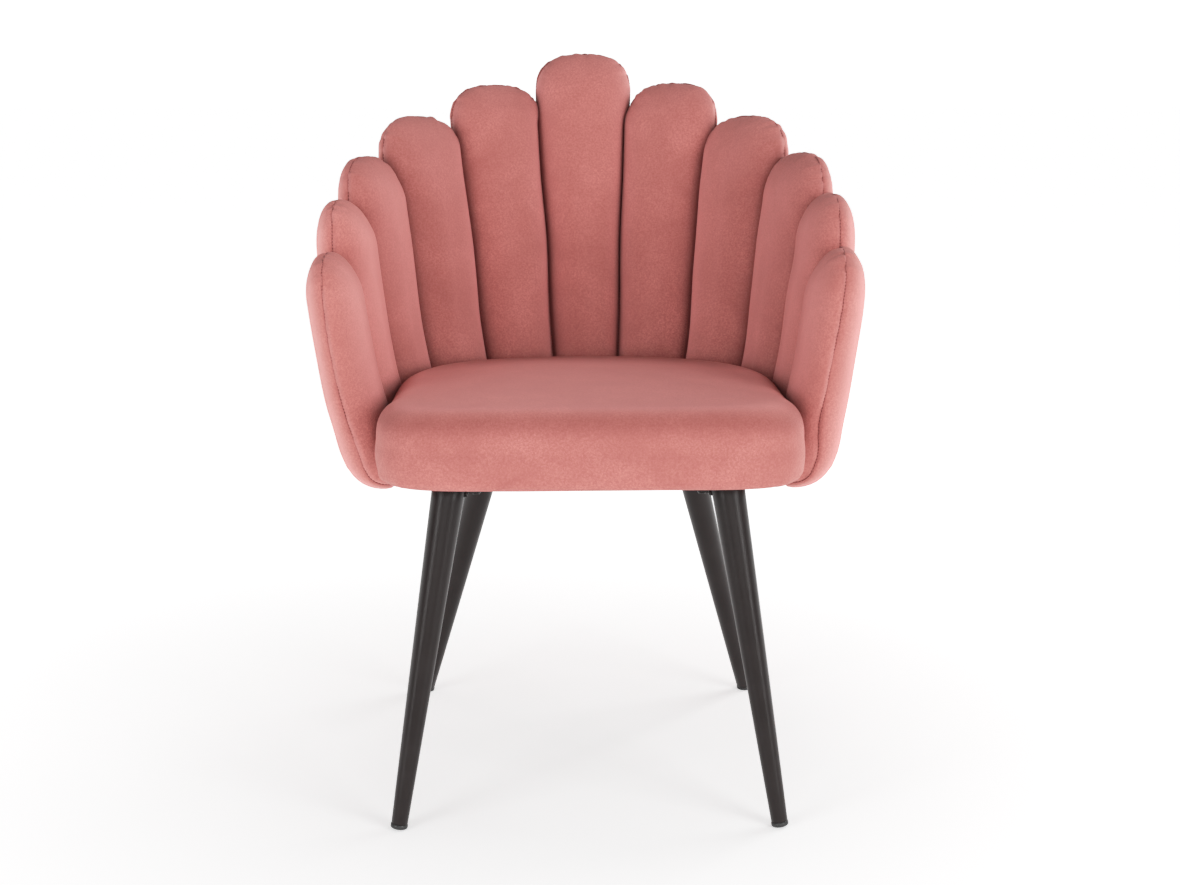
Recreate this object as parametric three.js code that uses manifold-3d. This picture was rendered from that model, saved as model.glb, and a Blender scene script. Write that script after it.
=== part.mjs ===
// Scallop back armchair: eleven padded petals stand round an upholstered seat, on a welded steel base with
// four tapered legs. Units are millimetres. +Z is up, the sitter faces -Y, and the origin is on the floor
// under the middle of the chair.
import * as THREE from "three";
import { mergeVertices } from "three/addons/utils/BufferGeometryUtils.js";
import Module from "manifold-3d";

const wasm = await Module();
wasm.setup();

// Fits
const clearance = 0.3; // between hard parts that touch
const pad_clearance = 0.6; // between padding and what it lies on
const outer_clearance = 0.8; // between the shell's back and the outer petals
const cut_overrun = 4; // how far a cutter runs past what it cuts
const weld_distance = 1e-4; // corners nearer than this are one corner

// Heights and overall sizes
const seat_base_height = 402; // underside of the seat board above the floor
const back_height = 438; // from there to the tip of the middle petal
const shell_drop = 17; // how far the shell hangs below the seat board

// Moulded back shell, all at the middle of its thickness
const shell_thickness = 8;
const rim_half_width = 273;
const bowl_height = 255; // height over which the sides flare out like a bowl
const bowl_tuck = 36; // how far the sides draw in at the bottom
const bowl_power = 2.2;
const widest_setback = 60; // the arms run straight in front of this line
const back_reach = 158; // from the origin to the back at the shell's bottom, before its tuck
const back_tuck = 22;
const back_recline = THREE.MathUtils.degToRad(14.5);
const arm_reach = 178; // from the origin to the front of the arms at the shell's bottom
const arm_lean = THREE.MathUtils.degToRad(7.6);
const plan_power = 2.3; // squareness of the curved back seen from above
const plan_samples = 24;
const slope_step_share = 1e-3; // step over which the surface's slope is measured

// Petals
const petal_count = 11;
const petal_waist_share = 0.13; // how much narrower the middle petal is at the bottom than at the top
// Heights of the tips as shares of back_height, from the middle petal outwards
const tip_rise_shares = [1, 0.911, 0.829, 0.735, 0.641, 0.529];
const arch_height = 55; // rounded top of each petal
const arch_power = 2.6;
const arch_steps = 4;
const pad_crest = 33; // foam over the shell at the middle of a petal
const pad_groove = 12; // and beside the groove
const crown_power = 2.4;
const groove_gap = 0.8; // between neighbouring petals
const outer_crest = 23; // foam on the back of the shell
const outer_groove = 12;
const inner_roll = 12; // height over which the inner petals' lower ends round off
const inner_roll_shares = [0.45, 0.85];
const outer_drop = 9; // how far the outer petals reach below the shell
const outer_roll = 7; // height over which their lower ends round off
const outer_roll_shares = [0.3, 0.75]; // of their thickness, at the lower end and above the rounding
const rim_cover = 22; // padding over the shell's top and front edges
// Rows of the curved surfaces, as shares of bowl_height
const level_shares = [0.08, 0.18, 0.33, 0.53, 0.76, 1, 1.25, 1.5];
const face_level_shares = level_shares.slice(2); // the rows above the seat
const face_column_shares = [-1, -0.78, -0.42, 0, 0.42, 0.78, 1]; // of a petal's half width
const free_column_shares = [-1, -0.94, -0.78, -0.48, 0, 0.42, 0.78, 1]; // of the petals at the arms' fronts
const backing_column_shares = [-1, 0, 1];
const outer_column_shares = [-1, -0.6, 0, 0.6, 1];
const trim_column_shares = [-1, -0.8, -0.4, 0.4, 0.8]; // of a petal's half width
const trim_reach_share = 1.2; // past the shell's ends

// Seat
const seat_board_thickness = 15;
const fabric_thickness = 1.5;
const dust_cover_thickness = 0.8;
const seat_side_height = 38; // upright side of the cushion
const seat_edge_radius = 38;
const seat_lower_radius = 12;
const seat_crown = 10;
const seat_front_reach = 243; // from the widest line to the front of the cushion
const seat_front_power = 7;
const seat_front_flare = 9; // on each side, where the cushion stands out in front of the arms
const seat_slope = THREE.MathUtils.degToRad(1.6); // down towards the back
const seat_points = 36;
const seat_side_gap = 18.7; // between the shell and the cushion's side, where its lower rounding ends
const seat_back_gap = 1.9; // between the back rivets' heads and the cushion
const board_inset = 0.8; // from the end of the cover's lower rounding to the board's edge
const staple_flange = 25; // fabric turned in under the board
const edge_steps = 4;
const crown_inset_shares = [0.3, 0.6, 1]; // from the rounded edge to the middle
const lower_corner_share = 0.3; // of the lower radius, the middle of its rounding

// Base
const front_leg_inset = 71.2; // from the shell's side to the side of a front leg's top
const front_leg_setback = 8; // from the arm's front edge back to its axis
const front_side_splay = 63; // how far further out the foot stands
const front_splay = 59; // and how far further forward
const back_leg_inset = 109.2;
const back_leg_setback = 28.2; // from the shell's back to the side of a back leg's top
const back_side_splay = 104;
const back_splay = 122;
const leg_top_radius = 17.8;
const leg_foot_radius = 8.9;
const leg_wall = 1.5;
const leg_sides = 18;
const bar_width = 25;
const bar_height = 30;
const bar_wall = 2;
const strap_thickness = 3;
const strap_width = 26;
const strap_upright = 36; // height of the strap's turned-up end on the shell
const strap_tail = 16; // strap beyond the bolt, towards the middle
const front_strap_setback = 32; // from the arm's front edge back to the front straps
const strap_row_shares = [0, 0.25, 0.6, 1]; // of strap_upright
const halving_steps = 40; // to find where a strap meets the shell
const rivet_radius = 2.5;
const rivet_head_radius = 5;
const rivet_head_height = 2.2;
const rivet_dome_share = 0.7;
const rivet_height = 24; // above the shell's bottom edge

// Fasteners
const bolt_radius = 3;
const bolt_head_radius = 5.2;
const bolt_head_height = 5;
const bolt_chamfer_share = 0.8;
const bolt_socket_radius = 2.6;
const bolt_socket_depth = 2.6;
const bolt_setback = 32; // from the leg's axis, along the bar
const bolt_sides = 12;
const tee_nut_flange_radius = 9.5;
const tee_nut_flange_thickness = 1.6;
const tee_nut_barrel_radius = 4.2;
const tee_nut_length = 11;

// Foot glides
const glide_lip = 0.6; // beyond the leg's end
const glide_rim = 3;
const glide_dome = 3.5;
const glide_flat = 0.5; // of the dome cut flat by the floor
const spigot_clearance = 0.8;
const glide_spigot_length = 12;
const glide_sides = 16;

// Places that follow from the sizes above
const shell_bottom = seat_base_height - shell_drop;
const seam_offset = -shell_thickness / 2;
const flange_bottom = seat_base_height - clearance - fabric_thickness;
const strap_top = flange_bottom - clearance;
const strap_bottom = strap_top - strap_thickness;
const bar_top = strap_bottom - clearance;
const bar_bottom = bar_top - bar_height;
const board_top = seat_base_height + seat_board_thickness;
const band_top = seat_base_height + back_height;
const last_column = 2 * petal_count;
const shell_face = shell_thickness / 2 + clearance;
const strap_face = shell_face + strap_thickness;
const rivet_top = strap_face + clearance + rivet_head_height;

const velvet = new THREE.MeshStandardMaterial({ color: 0xb8716d, roughness: 0.85, metalness: 0 });
const foam = new THREE.MeshStandardMaterial({ color: 0xe6dfb8, roughness: 0.95, metalness: 0 });
const plywood = new THREE.MeshStandardMaterial({ color: 0xc49a68, roughness: 0.7, metalness: 0 });
const lining = new THREE.MeshStandardMaterial({ color: 0x161616, roughness: 0.95, metalness: 0 });
const black_steel = new THREE.MeshStandardMaterial({ color: 0x1d1b1c, roughness: 0.42, metalness: 0.3 });
const zinc = new THREE.MeshStandardMaterial({ color: 0xa9adb0, roughness: 0.35, metalness: 1 });
const black_plastic = new THREE.MeshStandardMaterial({ color: 0x121212, roughness: 0.55, metalness: 0 });

const chair = new THREE.Group();

function place(name, solid, material) {
  const mesh = new THREE.Mesh(geometryOf(solid), material);
  mesh.name = name;
  chair.add(mesh);
}

// Solids for cutting and joining
function solidOf(geometry) {
  const positions = geometry.getAttribute("position").clone();
  const bare = new THREE.BufferGeometry().setAttribute("position", positions);
  if (geometry.index) bare.setIndex(geometry.index.clone());
  const merged = mergeVertices(bare, weld_distance);
  return new wasm.Manifold(
    new wasm.Mesh({
      numProp: 3,
      vertProperties: merged.attributes.position.array,
      triVerts: new Uint32Array(merged.index.array),
    }),
  );
}

function geometryOf(solid) {
  const mesh = solid.getMesh();
  const geometry = new THREE.BufferGeometry();
  geometry.setAttribute("position", new THREE.BufferAttribute(mesh.vertProperties, 3));
  geometry.setIndex(new THREE.BufferAttribute(mesh.triVerts, 1));
  return geometry;
}

// Cutting padding round the shell's scalloped edge can leave specks thinner than the fabric.
function largestBody(solid) {
  return solid.decompose().reduce((best, body) => (body.volume() > best.volume() ? body : best));
}

function trianglesToGeometry(triangles) {
  const numbers = triangles.flat().flatMap((p) => [p.x, p.y, p.z]);
  return new THREE.BufferGeometry().setAttribute("position", new THREE.Float32BufferAttribute(numbers, 3));
}

// A closed slab between a grid of face points and a grid of backing points, row by row from the bottom up.
// Both grids run the same way, and they may have different numbers of columns.
function slab(face, backing) {
  const triangles = [];
  const put = (a, b, c) => {
    const same = (p, q) => p.distanceTo(q) < weld_distance;
    if (!same(a, b) && !same(b, c) && !same(c, a)) triangles.push([a, b, c]);
  };
  const quad = (a, b, c, d) => {
    put(a, b, c);
    put(a, c, d);
  };
  // Each quad of the grids is split so that the left and right halves of the chair mirror each other.
  const grid = (low, high, k, turned_over) => {
    const corners = [low[k], low[k + 1], high[k + 1], high[k]];
    if (Math.abs(low[k].x) < Math.abs(low[k + 1].x)) corners.push(corners.shift());
    if (turned_over) corners.push(...corners.splice(1).reverse());
    quad(...corners);
  };
  for (let r = 0; r < face.length - 1; r++) {
    const [low, high, low_back, high_back] = [face[r], face[r + 1], backing[r], backing[r + 1]];
    for (let k = 0; k < low.length - 1; k++) grid(low, high, k, false);
    for (let k = 0; k < low_back.length - 1; k++) grid(low_back, high_back, k, true);
    quad(low_back[0], low[0], high[0], high_back[0]);
    quad(low.at(-1), low_back.at(-1), high_back.at(-1), high.at(-1));
  }
  const cap = (front, back, up) => {
    const turn = (a, b, c) => (up ? put(a, b, c) : put(b, a, c));
    if (front.length === back.length) {
      for (let k = 0; k < front.length - 1; k++) {
        turn(front[k], front[k + 1], back[k + 1]);
        turn(front[k], back[k + 1], back[k]);
      }
      return;
    }
    const pivot = back[Math.floor(back.length / 2)];
    for (let k = 0; k < front.length - 1; k++) turn(front[k], front[k + 1], pivot);
    for (let k = 0; k < back.length - 1; k++) turn(back[k + 1], back[k], pivot);
    turn(back[0], front[0], pivot);
    turn(front.at(-1), back.at(-1), pivot);
  };
  cap(face[0], backing[0], false);
  cap(face.at(-1), backing.at(-1), true);
  return trianglesToGeometry(triangles);
}

// The shell's middle surface
const bowlShare = (z) => Math.max(0, 1 - (z - shell_bottom) / bowl_height) ** bowl_power;
const halfWidthAt = (z) => rim_half_width - bowl_tuck * bowlShare(z);
const backAt = (z) => back_reach + (z - shell_bottom) * Math.tan(back_recline) - back_tuck * bowlShare(z);
const armFrontAt = (z) => -arm_reach - (z - shell_bottom) * Math.tan(arm_lean);

// A point of an oval whose roundness is set by power, at an angle from +X
function ovalPoint(half_width, half_length, power, angle) {
  const [c, s] = [Math.cos(angle), Math.sin(angle)];
  return new THREE.Vector2(
    half_width * Math.sign(c) * Math.abs(c) ** (2 / power),
    half_length * Math.sign(s) * Math.abs(s) ** (2 / power),
  );
}

// The shell seen from above at one height, from the front of the -X arm round the back to the +X arm
function planCurve(z) {
  const half_width = halfWidthAt(z);
  const around = [];
  for (let k = 0; k <= plan_samples; k++) {
    const angle = Math.PI * (1 - k / plan_samples);
    const p = ovalPoint(half_width, backAt(z) + widest_setback, plan_power, angle);
    around.push(p.add(new THREE.Vector2(0, -widest_setback)));
  }
  const path = new THREE.CurvePath();
  path.add(new THREE.LineCurve(new THREE.Vector2(-half_width, armFrontAt(z)), around[0]));
  path.add(new THREE.SplineCurve(around));
  path.add(new THREE.LineCurve(around.at(-1), new THREE.Vector2(half_width, armFrontAt(z))));
  return path;
}

const curves = new Map();
function curveAt(z) {
  if (!curves.has(z)) curves.set(z, planCurve(z));
  return curves.get(z);
}

// Columns stand at the petals' edges (even) and middles (odd). They are evenly spaced along the shell at
// its top, and draw in towards the middle petal lower down.
const columns = new Map();
function columnAt(index, z) {
  const key = index + "," + z;
  if (columns.has(key)) return columns.get(key);
  const share = index / last_column;
  const at = (height, s) => {
    const side_share = THREE.MathUtils.clamp(s, 0, 1) - 1 / 2;
    const waist_share = petal_waist_share * (1 - (height - shell_bottom) / (band_top - shell_bottom));
    const drawn_in = side_share * (1 - waist_share * (1 - 2 * Math.abs(side_share)));
    const p = curveAt(height).getPoint(drawn_in + 1 / 2);
    return new THREE.Vector3(p.x, p.y, height);
  };
  const along = at(z, share + slope_step_share).sub(at(z, share - slope_step_share));
  const rise = slope_step_share * bowl_height;
  const upward = at(z + rise, share).sub(at(z - rise, share));
  const column = { point: at(z, share), inward: along.cross(upward).normalize() };
  columns.set(key, column);
  return column;
}

// A point at a column, a height and an offset from the shell's middle, positive towards the sitter
function shellPoint(column, z, offset) {
  const low = THREE.MathUtils.clamp(Math.floor(column), 0, last_column - 1);
  const on = (index) => {
    const { point, inward } = columnAt(index, z);
    return point.clone().addScaledVector(inward, offset);
  };
  return on(low).lerp(on(low + 1), column - low);
}

const columnSpacing = (z) => curveAt(z).getLength() / last_column;
const tipHeight = (petal) => {
  const steps_from_middle = Math.abs(petal - (petal_count - 1) / 2);
  return seat_base_height + back_height * tip_rise_shares[steps_from_middle];
};
const ovalShare = (share, power) => Math.max(0, 1 - Math.abs(share) ** power) ** (1 / power);

// Rows of a petal from its bottom to its tip: full width up to the arch, then rounding to a point
function petalRows(petal, bottom, levels) {
  const tip = tipHeight(petal);
  const spring = tip - arch_height;
  const rows = [bottom];
  for (const share of levels) {
    const z = shell_bottom + share * bowl_height;
    if (z > bottom + shell_thickness && z < spring - shell_thickness) rows.push(z);
  }
  rows.push(spring);
  const made = rows.map((z) => ({ z, width_share: 1 }));
  for (let k = 1; k <= arch_steps; k++) {
    const angle = ((Math.PI / 2) * k) / arch_steps;
    const rise_share = Math.sin(angle) ** (2 / arch_power);
    const width_share = k === arch_steps ? 0 : Math.cos(angle) ** (2 / arch_power);
    made.push({ z: spring + arch_height * rise_share, width_share });
  }
  return made;
}

// Thins a petal towards its lower end.
function rollBottom(rows, height, roll_shares) {
  rows[0].roll_share = roll_shares[0];
  rows.splice(1, 0, { z: rows[0].z + height, width_share: 1, roll_share: roll_shares[1] });
}

// A grid of points over one petal. offsetAt gives the offset for a column's share of the half width and
// a row.
function petalGrid(petal, rows, column_shares, offsetAt) {
  return rows.map((row) => {
    const edge_share = 1 - groove_gap / 2 / columnSpacing(row.z);
    return column_shares.map((share) => {
      const column = 2 * petal + 1 + share * row.width_share * edge_share;
      return shellPoint(column, row.z, offsetAt(share, row));
    });
  });
}

const isFreeSide = (petal, share) => (petal === 0 && share < 0) || (petal === petal_count - 1 && share > 0);

function innerPetal(petal) {
  const rows = petalRows(petal, shell_bottom, face_level_shares);
  rollBottom(rows, inner_roll, inner_roll_shares);
  const crest = shell_thickness / 2 + pad_crest;
  const groove = shell_thickness / 2 + pad_groove;
  let column_shares = face_column_shares;
  if (isFreeSide(petal, -1)) column_shares = free_column_shares;
  if (isFreeSide(petal, 1)) column_shares = free_column_shares.map((share) => -share).reverse();
  const face = petalGrid(petal, rows, column_shares, (share, row) => {
    const edge = isFreeSide(petal, share) ? seam_offset : groove;
    const full = edge + (crest - edge) * ovalShare(share, isFreeSide(petal, share) ? 2 : crown_power);
    return seam_offset + (full - seam_offset) * row.width_share * (row.roll_share ?? 1);
  });
  const backing = petalGrid(petal, rows, backing_column_shares, () => seam_offset);
  return solidOf(slab(face, backing));
}

function outerPetal(petal) {
  const bottom = shell_bottom - outer_drop;
  const rows = petalRows(petal, bottom, level_shares);
  rollBottom(rows, outer_roll, outer_roll_shares);
  const base = seam_offset - outer_clearance;
  const face = petalGrid(petal, rows, outer_column_shares, (share, row) => {
    const edge = isFreeSide(petal, share) ? pad_clearance : outer_groove;
    const depth = edge + (outer_crest - edge) * ovalShare(share, crown_power);
    return base - depth * row.width_share * (row.roll_share ?? 1);
  });
  const backing = petalGrid(petal, rows, backing_column_shares, () => base);
  // Seen from behind, the grids swap sides.
  return solidOf(slab(backing, face));
}

function levelHeights(bottom) {
  return [bottom, ...level_shares.map((share) => shell_bottom + share * bowl_height)];
}

// A band of the shell between two offsets, from one height up to the petals' tips
function shellBand(inner, outer, bottom) {
  const grid = (offset) =>
    [...levelHeights(bottom), band_top].map((z) => {
      const row = [];
      for (let index = 0; index <= last_column; index++) row.push(shellPoint(index, z, offset));
      return row;
    });
  return solidOf(slab(grid(inner), grid(outer)));
}

// Everything past the shell's scalloped top and its front edges. A margin lets both edges out.
function shellTrim(margin) {
  const places = [[0, -trim_reach_share]];
  for (let petal = 0; petal < petal_count; petal++) {
    for (const share of trim_column_shares) places.push([petal, share]);
  }
  places.push([petal_count - 1, trim_reach_share]);
  const edgeTop = (petal, share) => {
    const arch = arch_height - shell_thickness;
    return tipHeight(petal) - rim_cover + margin - arch * (1 - ovalShare(share, arch_power));
  };
  const topAt = (petal, share) => {
    const own = edgeTop(petal, share);
    return share === -1 && petal > 0 ? Math.min(own, edgeTop(petal - 1, 1)) : own;
  };
  const grid = (offset) => [
    places.map(([petal, share]) => shellPoint(2 * petal + 1 + share, topAt(petal, share), offset)),
    places.map(([petal, share]) => shellPoint(2 * petal + 1 + share, band_top + cut_overrun, offset)),
  ];
  const above = solidOf(slab(grid(rim_cover), grid(-rim_cover)));
  const frontGrid = (side, offset) =>
    levelHeights(shell_bottom - cut_overrun).map((z) => {
      const inset_columns = (rim_cover - margin) / columnSpacing(z);
      const middle = side < 0 ? 0 : last_column;
      return [-1, 1].map((way) => shellPoint(middle + way * inset_columns, z, offset));
    });
  const past = (side) => solidOf(slab(frontGrid(side, rim_cover), frontGrid(side, -rim_cover)));
  return wasm.Manifold.union([above, past(-1), past(1)]);
}

// The seat's outline, drawn in or let out by a distance
const seat_rim = seat_base_height + seat_side_height + seat_edge_radius;
const seat_side_bottom = seat_base_height + seat_lower_radius;
const seat_half_width = halfWidthAt(seat_side_bottom) - shell_thickness / 2 - seat_side_gap;
const seat_back_reach = backAt(seat_side_bottom) + widest_setback - rivet_top - seat_back_gap;
const seat_middle = (seat_back_reach - seat_front_reach) / 2 - widest_setback;

function seatOutline(inset) {
  const points = [];
  for (let k = 0; k < seat_points; k++) {
    const angle = (2 * Math.PI * (k + 1 / 2)) / seat_points;
    const back = Math.sin(angle) > 0;
    const reach = (back ? seat_back_reach : seat_front_reach) - inset;
    const p = ovalPoint(seat_half_width - inset, reach, back ? plan_power : seat_front_power, angle);
    const y = p.y - widest_setback;
    const past_arms_share = THREE.MathUtils.smoothstep(-y, arm_reach, arm_reach + seat_edge_radius);
    points.push(new THREE.Vector2(p.x + Math.sign(p.x) * seat_front_flare * past_arms_share, y));
  }
  return points;
}

function seatPrism(inset, bottom, top) {
  const geometry = new THREE.ExtrudeGeometry(new THREE.Shape(seatOutline(inset)), {
    depth: top - bottom,
    bevelEnabled: false,
  });
  return solidOf(geometry.translate(0, 0, bottom));
}

// A cushion with a crowned top, drawn in all over by a distance
function cushion(inset, bottom) {
  const rim = seat_rim - inset;
  const lower_radius = seat_lower_radius - inset;
  const edge_radius = seat_edge_radius - inset;
  const rings = [
    [inset + lower_radius, bottom],
    [inset + lower_radius * lower_corner_share, bottom + lower_radius * lower_corner_share],
    [inset, bottom + lower_radius],
  ];
  for (let k = 0; k <= edge_steps; k++) {
    const angle = ((Math.PI / 2) * k) / edge_steps;
    rings.push([inset + edge_radius * (1 - Math.cos(angle)), rim - edge_radius * (1 - Math.sin(angle))]);
  }
  const slopeAt = (z, y) => {
    const height_share = Math.min(1, (z - bottom) / (rim - bottom));
    return z - (y + widest_setback) * Math.tan(seat_slope) * height_share;
  };
  const crownAt = (share) => rim + seat_crown * Math.sin((Math.PI / 2) * share);
  const rows = rings.map(([ring_inset, z]) =>
    seatOutline(ring_inset).map((p) => new THREE.Vector3(p.x, p.y, slopeAt(z, p.y))),
  );
  const edge = seatOutline(seat_edge_radius);
  for (const share of crown_inset_shares.slice(0, -1)) {
    const ring = edge.map((p) => {
      const y = THREE.MathUtils.lerp(p.y, seat_middle, share);
      return new THREE.Vector3(p.x * (1 - share), y, slopeAt(crownAt(share), y));
    });
    rows.push(ring);
  }
  const triangles = [];
  const next = (k) => (k + 1) % seat_points;
  for (let r = 0; r < rows.length - 1; r++) {
    for (let k = 0; k < seat_points; k++) {
      triangles.push([rows[r][k], rows[r][next(k)], rows[r + 1][next(k)]]);
      triangles.push([rows[r][k], rows[r + 1][next(k)], rows[r + 1][k]]);
    }
  }
  const top = new THREE.Vector3(0, seat_middle, slopeAt(crownAt(1), seat_middle));
  const foot = new THREE.Vector3(0, seat_middle, bottom);
  for (let k = 0; k < seat_points; k++) {
    triangles.push([rows.at(-1)[k], rows.at(-1)[next(k)], top]);
    triangles.push([rows[0][next(k)], rows[0][k], foot]);
  }
  return solidOf(trianglesToGeometry(triangles));
}

// Turned parts: a profile of radius and height pairs, round +Z
function turned(profile, sides) {
  const points = profile.map(([radius, height]) => new THREE.Vector2(radius, height));
  return new THREE.LatheGeometry(points, sides).rotateX(Math.PI / 2);
}

function rod(radius, bottom, top) {
  const geometry = new THREE.CylinderGeometry(radius, radius, top - bottom, bolt_sides);
  return geometry.rotateX(Math.PI / 2).translate(0, 0, (top + bottom) / 2);
}

// The base: one record for each leg, with its upper end at the bars' top and its lower end on the floor
function legRecord(name, side, top_out, top_y, side_splay, splay) {
  const upper = new THREE.Vector3(side * top_out, top_y, bar_top);
  const lower = new THREE.Vector3(side * (top_out + side_splay), top_y + splay, 0);
  const axis = upper.clone().sub(lower);
  const length = axis.length();
  const turn = new THREE.Quaternion().setFromUnitVectors(new THREE.Vector3(0, 0, 1), axis.normalize());
  return { name, side, upper, lower, length, turn };
}

const front_out = halfWidthAt(shell_bottom) - front_leg_inset - leg_top_radius;
const front_y = front_leg_setback - arm_reach;
const back_out = halfWidthAt(shell_bottom) - back_leg_inset - leg_top_radius;
const back_y = backAt(shell_bottom) - back_leg_setback - leg_top_radius;
const frontLeg = (name, side) => legRecord(name, side, front_out, front_y, front_side_splay, -front_splay);
const backLeg = (name, side) => legRecord(name, side, back_out, back_y, back_side_splay, back_splay);
const front_left = frontLeg("front_left", -1);
const front_right = frontLeg("front_right", 1);
const back_left = backLeg("back_left", -1);
const back_right = backLeg("back_right", 1);
const legs = [front_left, front_right, back_left, back_right];

const planOf = (point) => new THREE.Vector2(point.x, point.y);
const crossing_share = front_out / (front_out + back_out);
const base_centre = new THREE.Vector2(0, THREE.MathUtils.lerp(front_y, back_y, crossing_share));

// Bolt centres: on the bars, a set distance in from each leg
for (const leg of legs) {
  const from = planOf(leg.upper);
  const inward = base_centre.clone().sub(from).normalize();
  leg.bolt = from.addScaledVector(inward, bolt_setback);
}

function alongLeg(leg, geometry) {
  return geometry.applyQuaternion(leg.turn).translate(leg.lower.x, leg.lower.y, leg.lower.z);
}

// A cone along a leg's axis, wider than the leg by a margin
function legCone(leg, margin, from, to) {
  const taper = (leg_top_radius - leg_foot_radius) / leg.length;
  const radiusAt = (height) => leg_foot_radius + taper * height + margin;
  const profile = [
    [0, from],
    [radiusAt(from), from],
    [radiusAt(to), to],
    [0, to],
  ];
  return solidOf(alongLeg(leg, turned(profile, leg_sides)));
}

const glide_radius = leg_foot_radius + glide_lip;
const spigot_radius = leg_foot_radius - leg_wall - spigot_clearance;
const glide_height = glide_rim + glide_dome - glide_flat;
const leg_start = glide_height + clearance;
const past_leg = 2 * leg_top_radius; // far enough along a leg to pass the bars' top

function slice(bottom, top) {
  const size = 4 * rim_half_width;
  return solidOf(new THREE.BoxGeometry(size, size, top - bottom).translate(0, 0, (top + bottom) / 2));
}

const above_bar = slice(bar_top, bar_top + past_leg + cut_overrun);
const below_floor = slice(-glide_radius - cut_overrun, 0);

function legTube(leg) {
  const bore = legCone(leg, -leg_wall, -cut_overrun, leg.length + past_leg);
  return legCone(leg, 0, leg_start, leg.length + leg_top_radius).subtract(bore).subtract(above_bar);
}

function glide(leg) {
  const dome = (angle) => [glide_radius * Math.cos(angle), glide_dome * (1 - Math.sin(angle))];
  const shoulder = glide_dome + glide_rim;
  const profile = [
    [0, 0],
    dome(Math.PI / 3),
    dome(Math.PI / 6),
    dome(0),
    [glide_radius, shoulder],
    [spigot_radius, shoulder],
    [spigot_radius, shoulder + glide_spigot_length],
    [0, shoulder + glide_spigot_length],
  ];
  const geometry = turned(profile, glide_sides).translate(0, 0, -glide_flat);
  return solidOf(alongLeg(leg, geometry)).subtract(below_floor);
}

// One drill at each bolt
function boltDrills(radius, bottom, top) {
  const drill = ({ bolt }) => solidOf(rod(radius, bottom, top).translate(bolt.x, bolt.y, 0));
  return wasm.Manifold.union(legs.map(drill));
}

function legRoom(margin) {
  const room = (leg) => legCone(leg, margin, leg_start, leg.length + leg_top_radius);
  return wasm.Manifold.union(legs.map(room));
}

const leg_room = legRoom(clearance);
const bolt_room = boltDrills(bolt_radius + clearance, bar_bottom - cut_overrun, board_top + cut_overrun);

// A block under the seat between two points of the floor plan
function barBlock(from, to, width, height, end_overrun) {
  const along = to.clone().sub(from);
  const middle = from.clone().add(to).divideScalar(2);
  const block = new THREE.BoxGeometry(along.length() + end_overrun, width, height);
  block.rotateZ(Math.atan2(along.y, along.x));
  return solidOf(block.translate(middle.x, middle.y, bar_top - bar_height / 2));
}

// Square tube with open ends, coped round the legs
function barTube(from, to) {
  const inside = barBlock(from, to, bar_width - 2 * bar_wall, bar_height - 2 * bar_wall, cut_overrun);
  const tube = barBlock(from, to, bar_width, bar_height, 0).subtract(inside);
  return tube.subtract(leg_room).subtract(bolt_room);
}

const long_ends = [planOf(front_left.upper), planOf(back_right.upper)];
const long_bar_room = barBlock(...long_ends, bar_width + 2 * clearance, bar_height + 2 * clearance, 0);
const shortBar = (leg) => barTube(planOf(leg.upper), base_centre).subtract(long_bar_room);
place("cross_bar_long", barTube(...long_ends), black_steel);
place("cross_bar_front", shortBar(front_right), black_steel);
place("cross_bar_back", shortBar(back_left), black_steel);

// Bolts through the bars and straps into nuts let into the seat board
function frameBolt(leg) {
  const head_top = bar_bottom - clearance;
  const head_bottom = head_top - bolt_head_height;
  const bolt_top = board_top - tee_nut_flange_thickness - clearance;
  const profile = [
    [0, head_bottom],
    [bolt_head_radius * bolt_chamfer_share, head_bottom],
    [bolt_head_radius, head_bottom + bolt_head_height / 4],
    [bolt_head_radius, head_top],
    [bolt_radius, head_top],
    [bolt_radius, bolt_top],
    [0, bolt_top],
  ];
  const [radius, length] = [bolt_socket_radius, 2 * bolt_socket_depth];
  const hexagon = new THREE.CylinderGeometry(radius, radius, length, 6).rotateX(Math.PI / 2);
  const socket = solidOf(hexagon.translate(0, 0, head_bottom));
  return solidOf(turned(profile, bolt_sides)).subtract(socket).translate([leg.bolt.x, leg.bolt.y, 0]);
}

function teeNut(leg) {
  const bore = bolt_radius + clearance;
  const flange_top = board_top - clearance;
  const flange_bottom_z = flange_top - tee_nut_flange_thickness;
  const profile = [
    [bore, board_top - tee_nut_length],
    [tee_nut_barrel_radius, board_top - tee_nut_length],
    [tee_nut_barrel_radius, flange_bottom_z],
    [tee_nut_flange_radius, flange_bottom_z],
    [tee_nut_flange_radius, flange_top],
    [bore, flange_top],
    [bore, board_top - tee_nut_length],
  ];
  return solidOf(turned(profile, bolt_sides)).translate([leg.bolt.x, leg.bolt.y, 0]);
}

// Straps from the bolts to the shell: out to the arms at the front, straight back behind
const strap_z = strap_bottom + strap_thickness / 2;
const past_shell_face = shellBand(shell_face, -2 * strap_width, shell_bottom - cut_overrun);

// The column of the shell that a leg's strap meets, found by halving the side that it is on
function strapColumn(leg) {
  const front_line = armFrontAt(strap_z) + front_strap_setback;
  const offAxis = (column) => {
    const p = shellPoint(column, strap_z, shell_face);
    return leg.bolt.y < base_centre.y ? p.y - front_line : p.x - leg.bolt.x;
  };
  let [from, to] = leg.side < 0 ? [0, last_column / 2] : [last_column / 2, last_column];
  for (let k = 0; k < halving_steps; k++) {
    const middle = (from + to) / 2;
    if (offAxis(middle) < 0 === offAxis(from) < 0) from = middle;
    else to = middle;
  }
  return from;
}

for (const leg of legs) {
  leg.column = strapColumn(leg);
  leg.strap_end = planOf(shellPoint(leg.column, strap_z, shell_face));
}

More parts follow.
